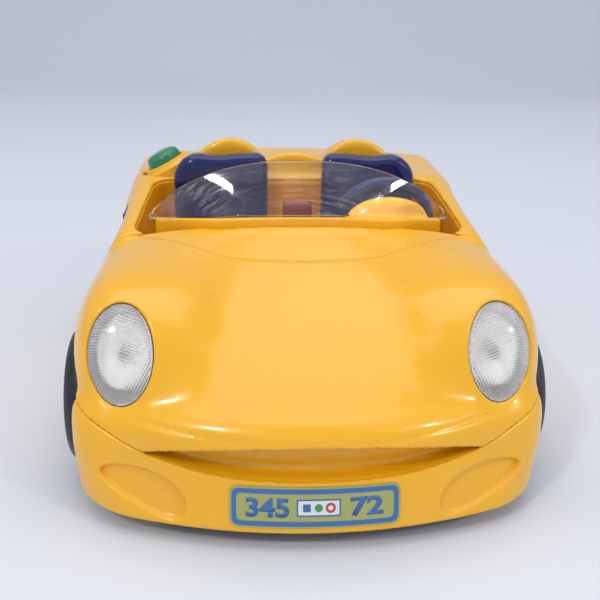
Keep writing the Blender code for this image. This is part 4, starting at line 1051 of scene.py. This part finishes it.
def make_wheel(where, side, sign, hub_body):
    """A tyre and its rim, with five windows in the rim's face."""
    half = TYRE_WIDTH / 2
    crown = [(19.5, half), (22, half), (24.2, half), (26.6, half - 2.4), (27.7, half - 6), (TYRE_R, 0)]
    under = [(r, -h) for r, h in crown[-2::-1]]
    inner = [(RIM_R + GAP, 2.4 - half), (RIM_R + GAP, half - 2.4)]
    fine = subdivided(rounded(crown + under + inner, 1.6, True, 5), 0.55)
    centre = (sign * WHEEL_X, FRONT_AXLE_Y if where == "front" else REAR_AXLE_Y, WHEEL_Z)
    points, faces = lathe(fine, 240, "X", True, tyre_shape)
    name = f"{where}_{side}"
    piece(
        "tyre_tread_" + name, clean(mesh_of("tyre", points, faces)), RUBBER, hub_body,
        ["tyre_" + name], centre,
    )

    profile = [
        (2.4, 8.6), (6.4, 8.6), (7.6, 5.5), (12.6, 4.6), (15.2, 8.2), (RIM_R, 8.2), (RIM_R, -8.2),
        (15, -8.2), (15, 0), (6, 0), (6, -8.2), (2.4, -8.2),
    ]
    fine = subdivided(rounded(profile, 0.8, True, 3), 0.7)

    def spokes(radius, height, angle):
        window = smooth_step((0.35 - np.cos(angle * 5)) / 0.35)
        ring = smooth_step((radius - 7.2) / 1.2) * smooth_step((14.2 - radius) / 1.2) * (height > 2)
        return radius, height - 2.6 * window * ring

    points, faces = lathe(fine, 200, "X", True, spokes)
    points = points * (sign, 1, 1)
    piece(
        "wheel_centre_" + name, clean(mesh_of("rim", points, faces)), YELLOW, hub_body,
        ["wheel_rim_" + name], centre,
    )


for side, sign in (("left", 1), ("right", -1)):
    make_wheel("front", side, sign, f"front_wheel_{side}")
    make_wheel("rear", side, sign, "rear_axle")


# ---------------------------------------------------------------- frame pieces that stay
CARRIED = {
    "black_plastic": BLACK, "grey_plastic": GREY, "white_plastic": WHITE, "steel": STEEL, "brass": BRASS,
    "circuit_board": BOARD, "battery_jacket": JACKET, "navy_plastic": NAVY, "yellow_plastic": YELLOW,
}
SLOT_OF = {entry["node"]: entry["material_slot"] for entry in frame["record"]["subparts"]}
for node_name, node in frame["nodes"].items():
    material = CARRIED.get(SLOT_OF[node_name])
    if material is None or node.hide_render:
        continue
    for slot in node.material_slots:
        slot.material = material


# ---------------------------------------------------------------- floor, light and camera
def make_stage():
    """A pale sweep: a floor that curves up into a backdrop."""
    run = [(-3.0, 0.0), (1.2, 0.0)]
    run += [(1.2 + 0.9 * math.sin(a), 0.9 - 0.9 * math.cos(a)) for a in np.linspace(0, math.pi / 2, 17)[1:]]
    run += [(2.1, 3.5)]
    points = [(x, y, z) for x in (-3.5, 3.5) for y, z in run]
    count = len(run)
    faces = [(i, i + 1, count + i + 1, count + i) for i in range(count - 1)]
    mesh = bpy.data.meshes.new("sweep")
    mesh.from_pydata(points, [], [face[::-1] for face in faces])
    mesh.shade_smooth()
    made = bpy.data.objects.new("sweep", mesh)
    bpy.context.scene.collection.objects.link(made)
    n = Nodes("paper")
    cloud = n.band(n.noise(1.2, 3), 0.3, 0.7)
    n.set(Base_Color=n.mix(cloud, rgba((0.70, 0.72, 0.78)), rgba((0.74, 0.76, 0.81))), Roughness=0.8)
    n.bump(n.noise(400, 2), 0.0002, 0.15)
    mesh.materials.append(n.material)


def softbox(name, at, target, size, power, colour=(1, 1, 1)):
    data = bpy.data.lights.new(name, "AREA")
    data.shape = "RECTANGLE"
    data.size, data.size_y = size
    data.energy = power
    data.color = colour
    made = bpy.data.objects.new(name, data)
    made.location = at
    made.rotation_euler = (Vector(target) - Vector(at)).to_track_quat("-Z", "Y").to_euler()
    bpy.context.scene.collection.objects.link(made)


def make_lights():
    softbox("key", (-0.55, -0.75, 0.9), (0, -0.02, 0.05), (0.1, 0.1), 2.6, (1.0, 0.98, 0.95))
    softbox("top", (0.0, 0.1, 1.3), (0, 0, 0.05), (1.3, 1.3), 7.0, (0.98, 0.99, 1.0))
    softbox("fill", (0.8, -0.7, 0.75), (0, -0.05, 0.05), (0.1, 0.1), 1.6)
    world = bpy.data.worlds.new("studio")
    world.use_nodes = True
    background = world.node_tree.nodes["Background"]
    background.inputs[0].default_value = (0.88, 0.92, 1.0, 1)
    background.inputs[1].default_value = 0.68
    bpy.context.scene.world = world
    bpy.context.scene.view_settings.view_transform = "Standard"


def make_camera():
    """A camera ahead of the car and above it, turned and tipped a little."""
    yaw, pitch, roll = (math.radians(angle) for angle in CAMERA_TURN)
    forward = Vector((math.sin(yaw) * math.cos(pitch), math.cos(yaw) * math.cos(pitch), -math.sin(pitch)))
    level = Vector((math.cos(yaw), -math.sin(yaw), 0))
    above = level.cross(forward)
    right = math.cos(roll) * level + math.sin(roll) * above
    up = math.cos(roll) * above - math.sin(roll) * level
    data = bpy.data.cameras.new("camera")
    data.lens, data.sensor_width = CAMERA_LENS, 36
    data.clip_start = 0.01
    camera = bpy.data.objects.new("camera", data)
    turn = Matrix((right, up, -forward)).transposed().to_4x4()
    camera.matrix_world = Matrix.Translation(Vector(CAMERA_PLACE) * MM) @ turn
    bpy.context.scene.collection.objects.link(camera)
    bpy.context.scene.camera = camera


make_stage()
make_lights()
make_camera()
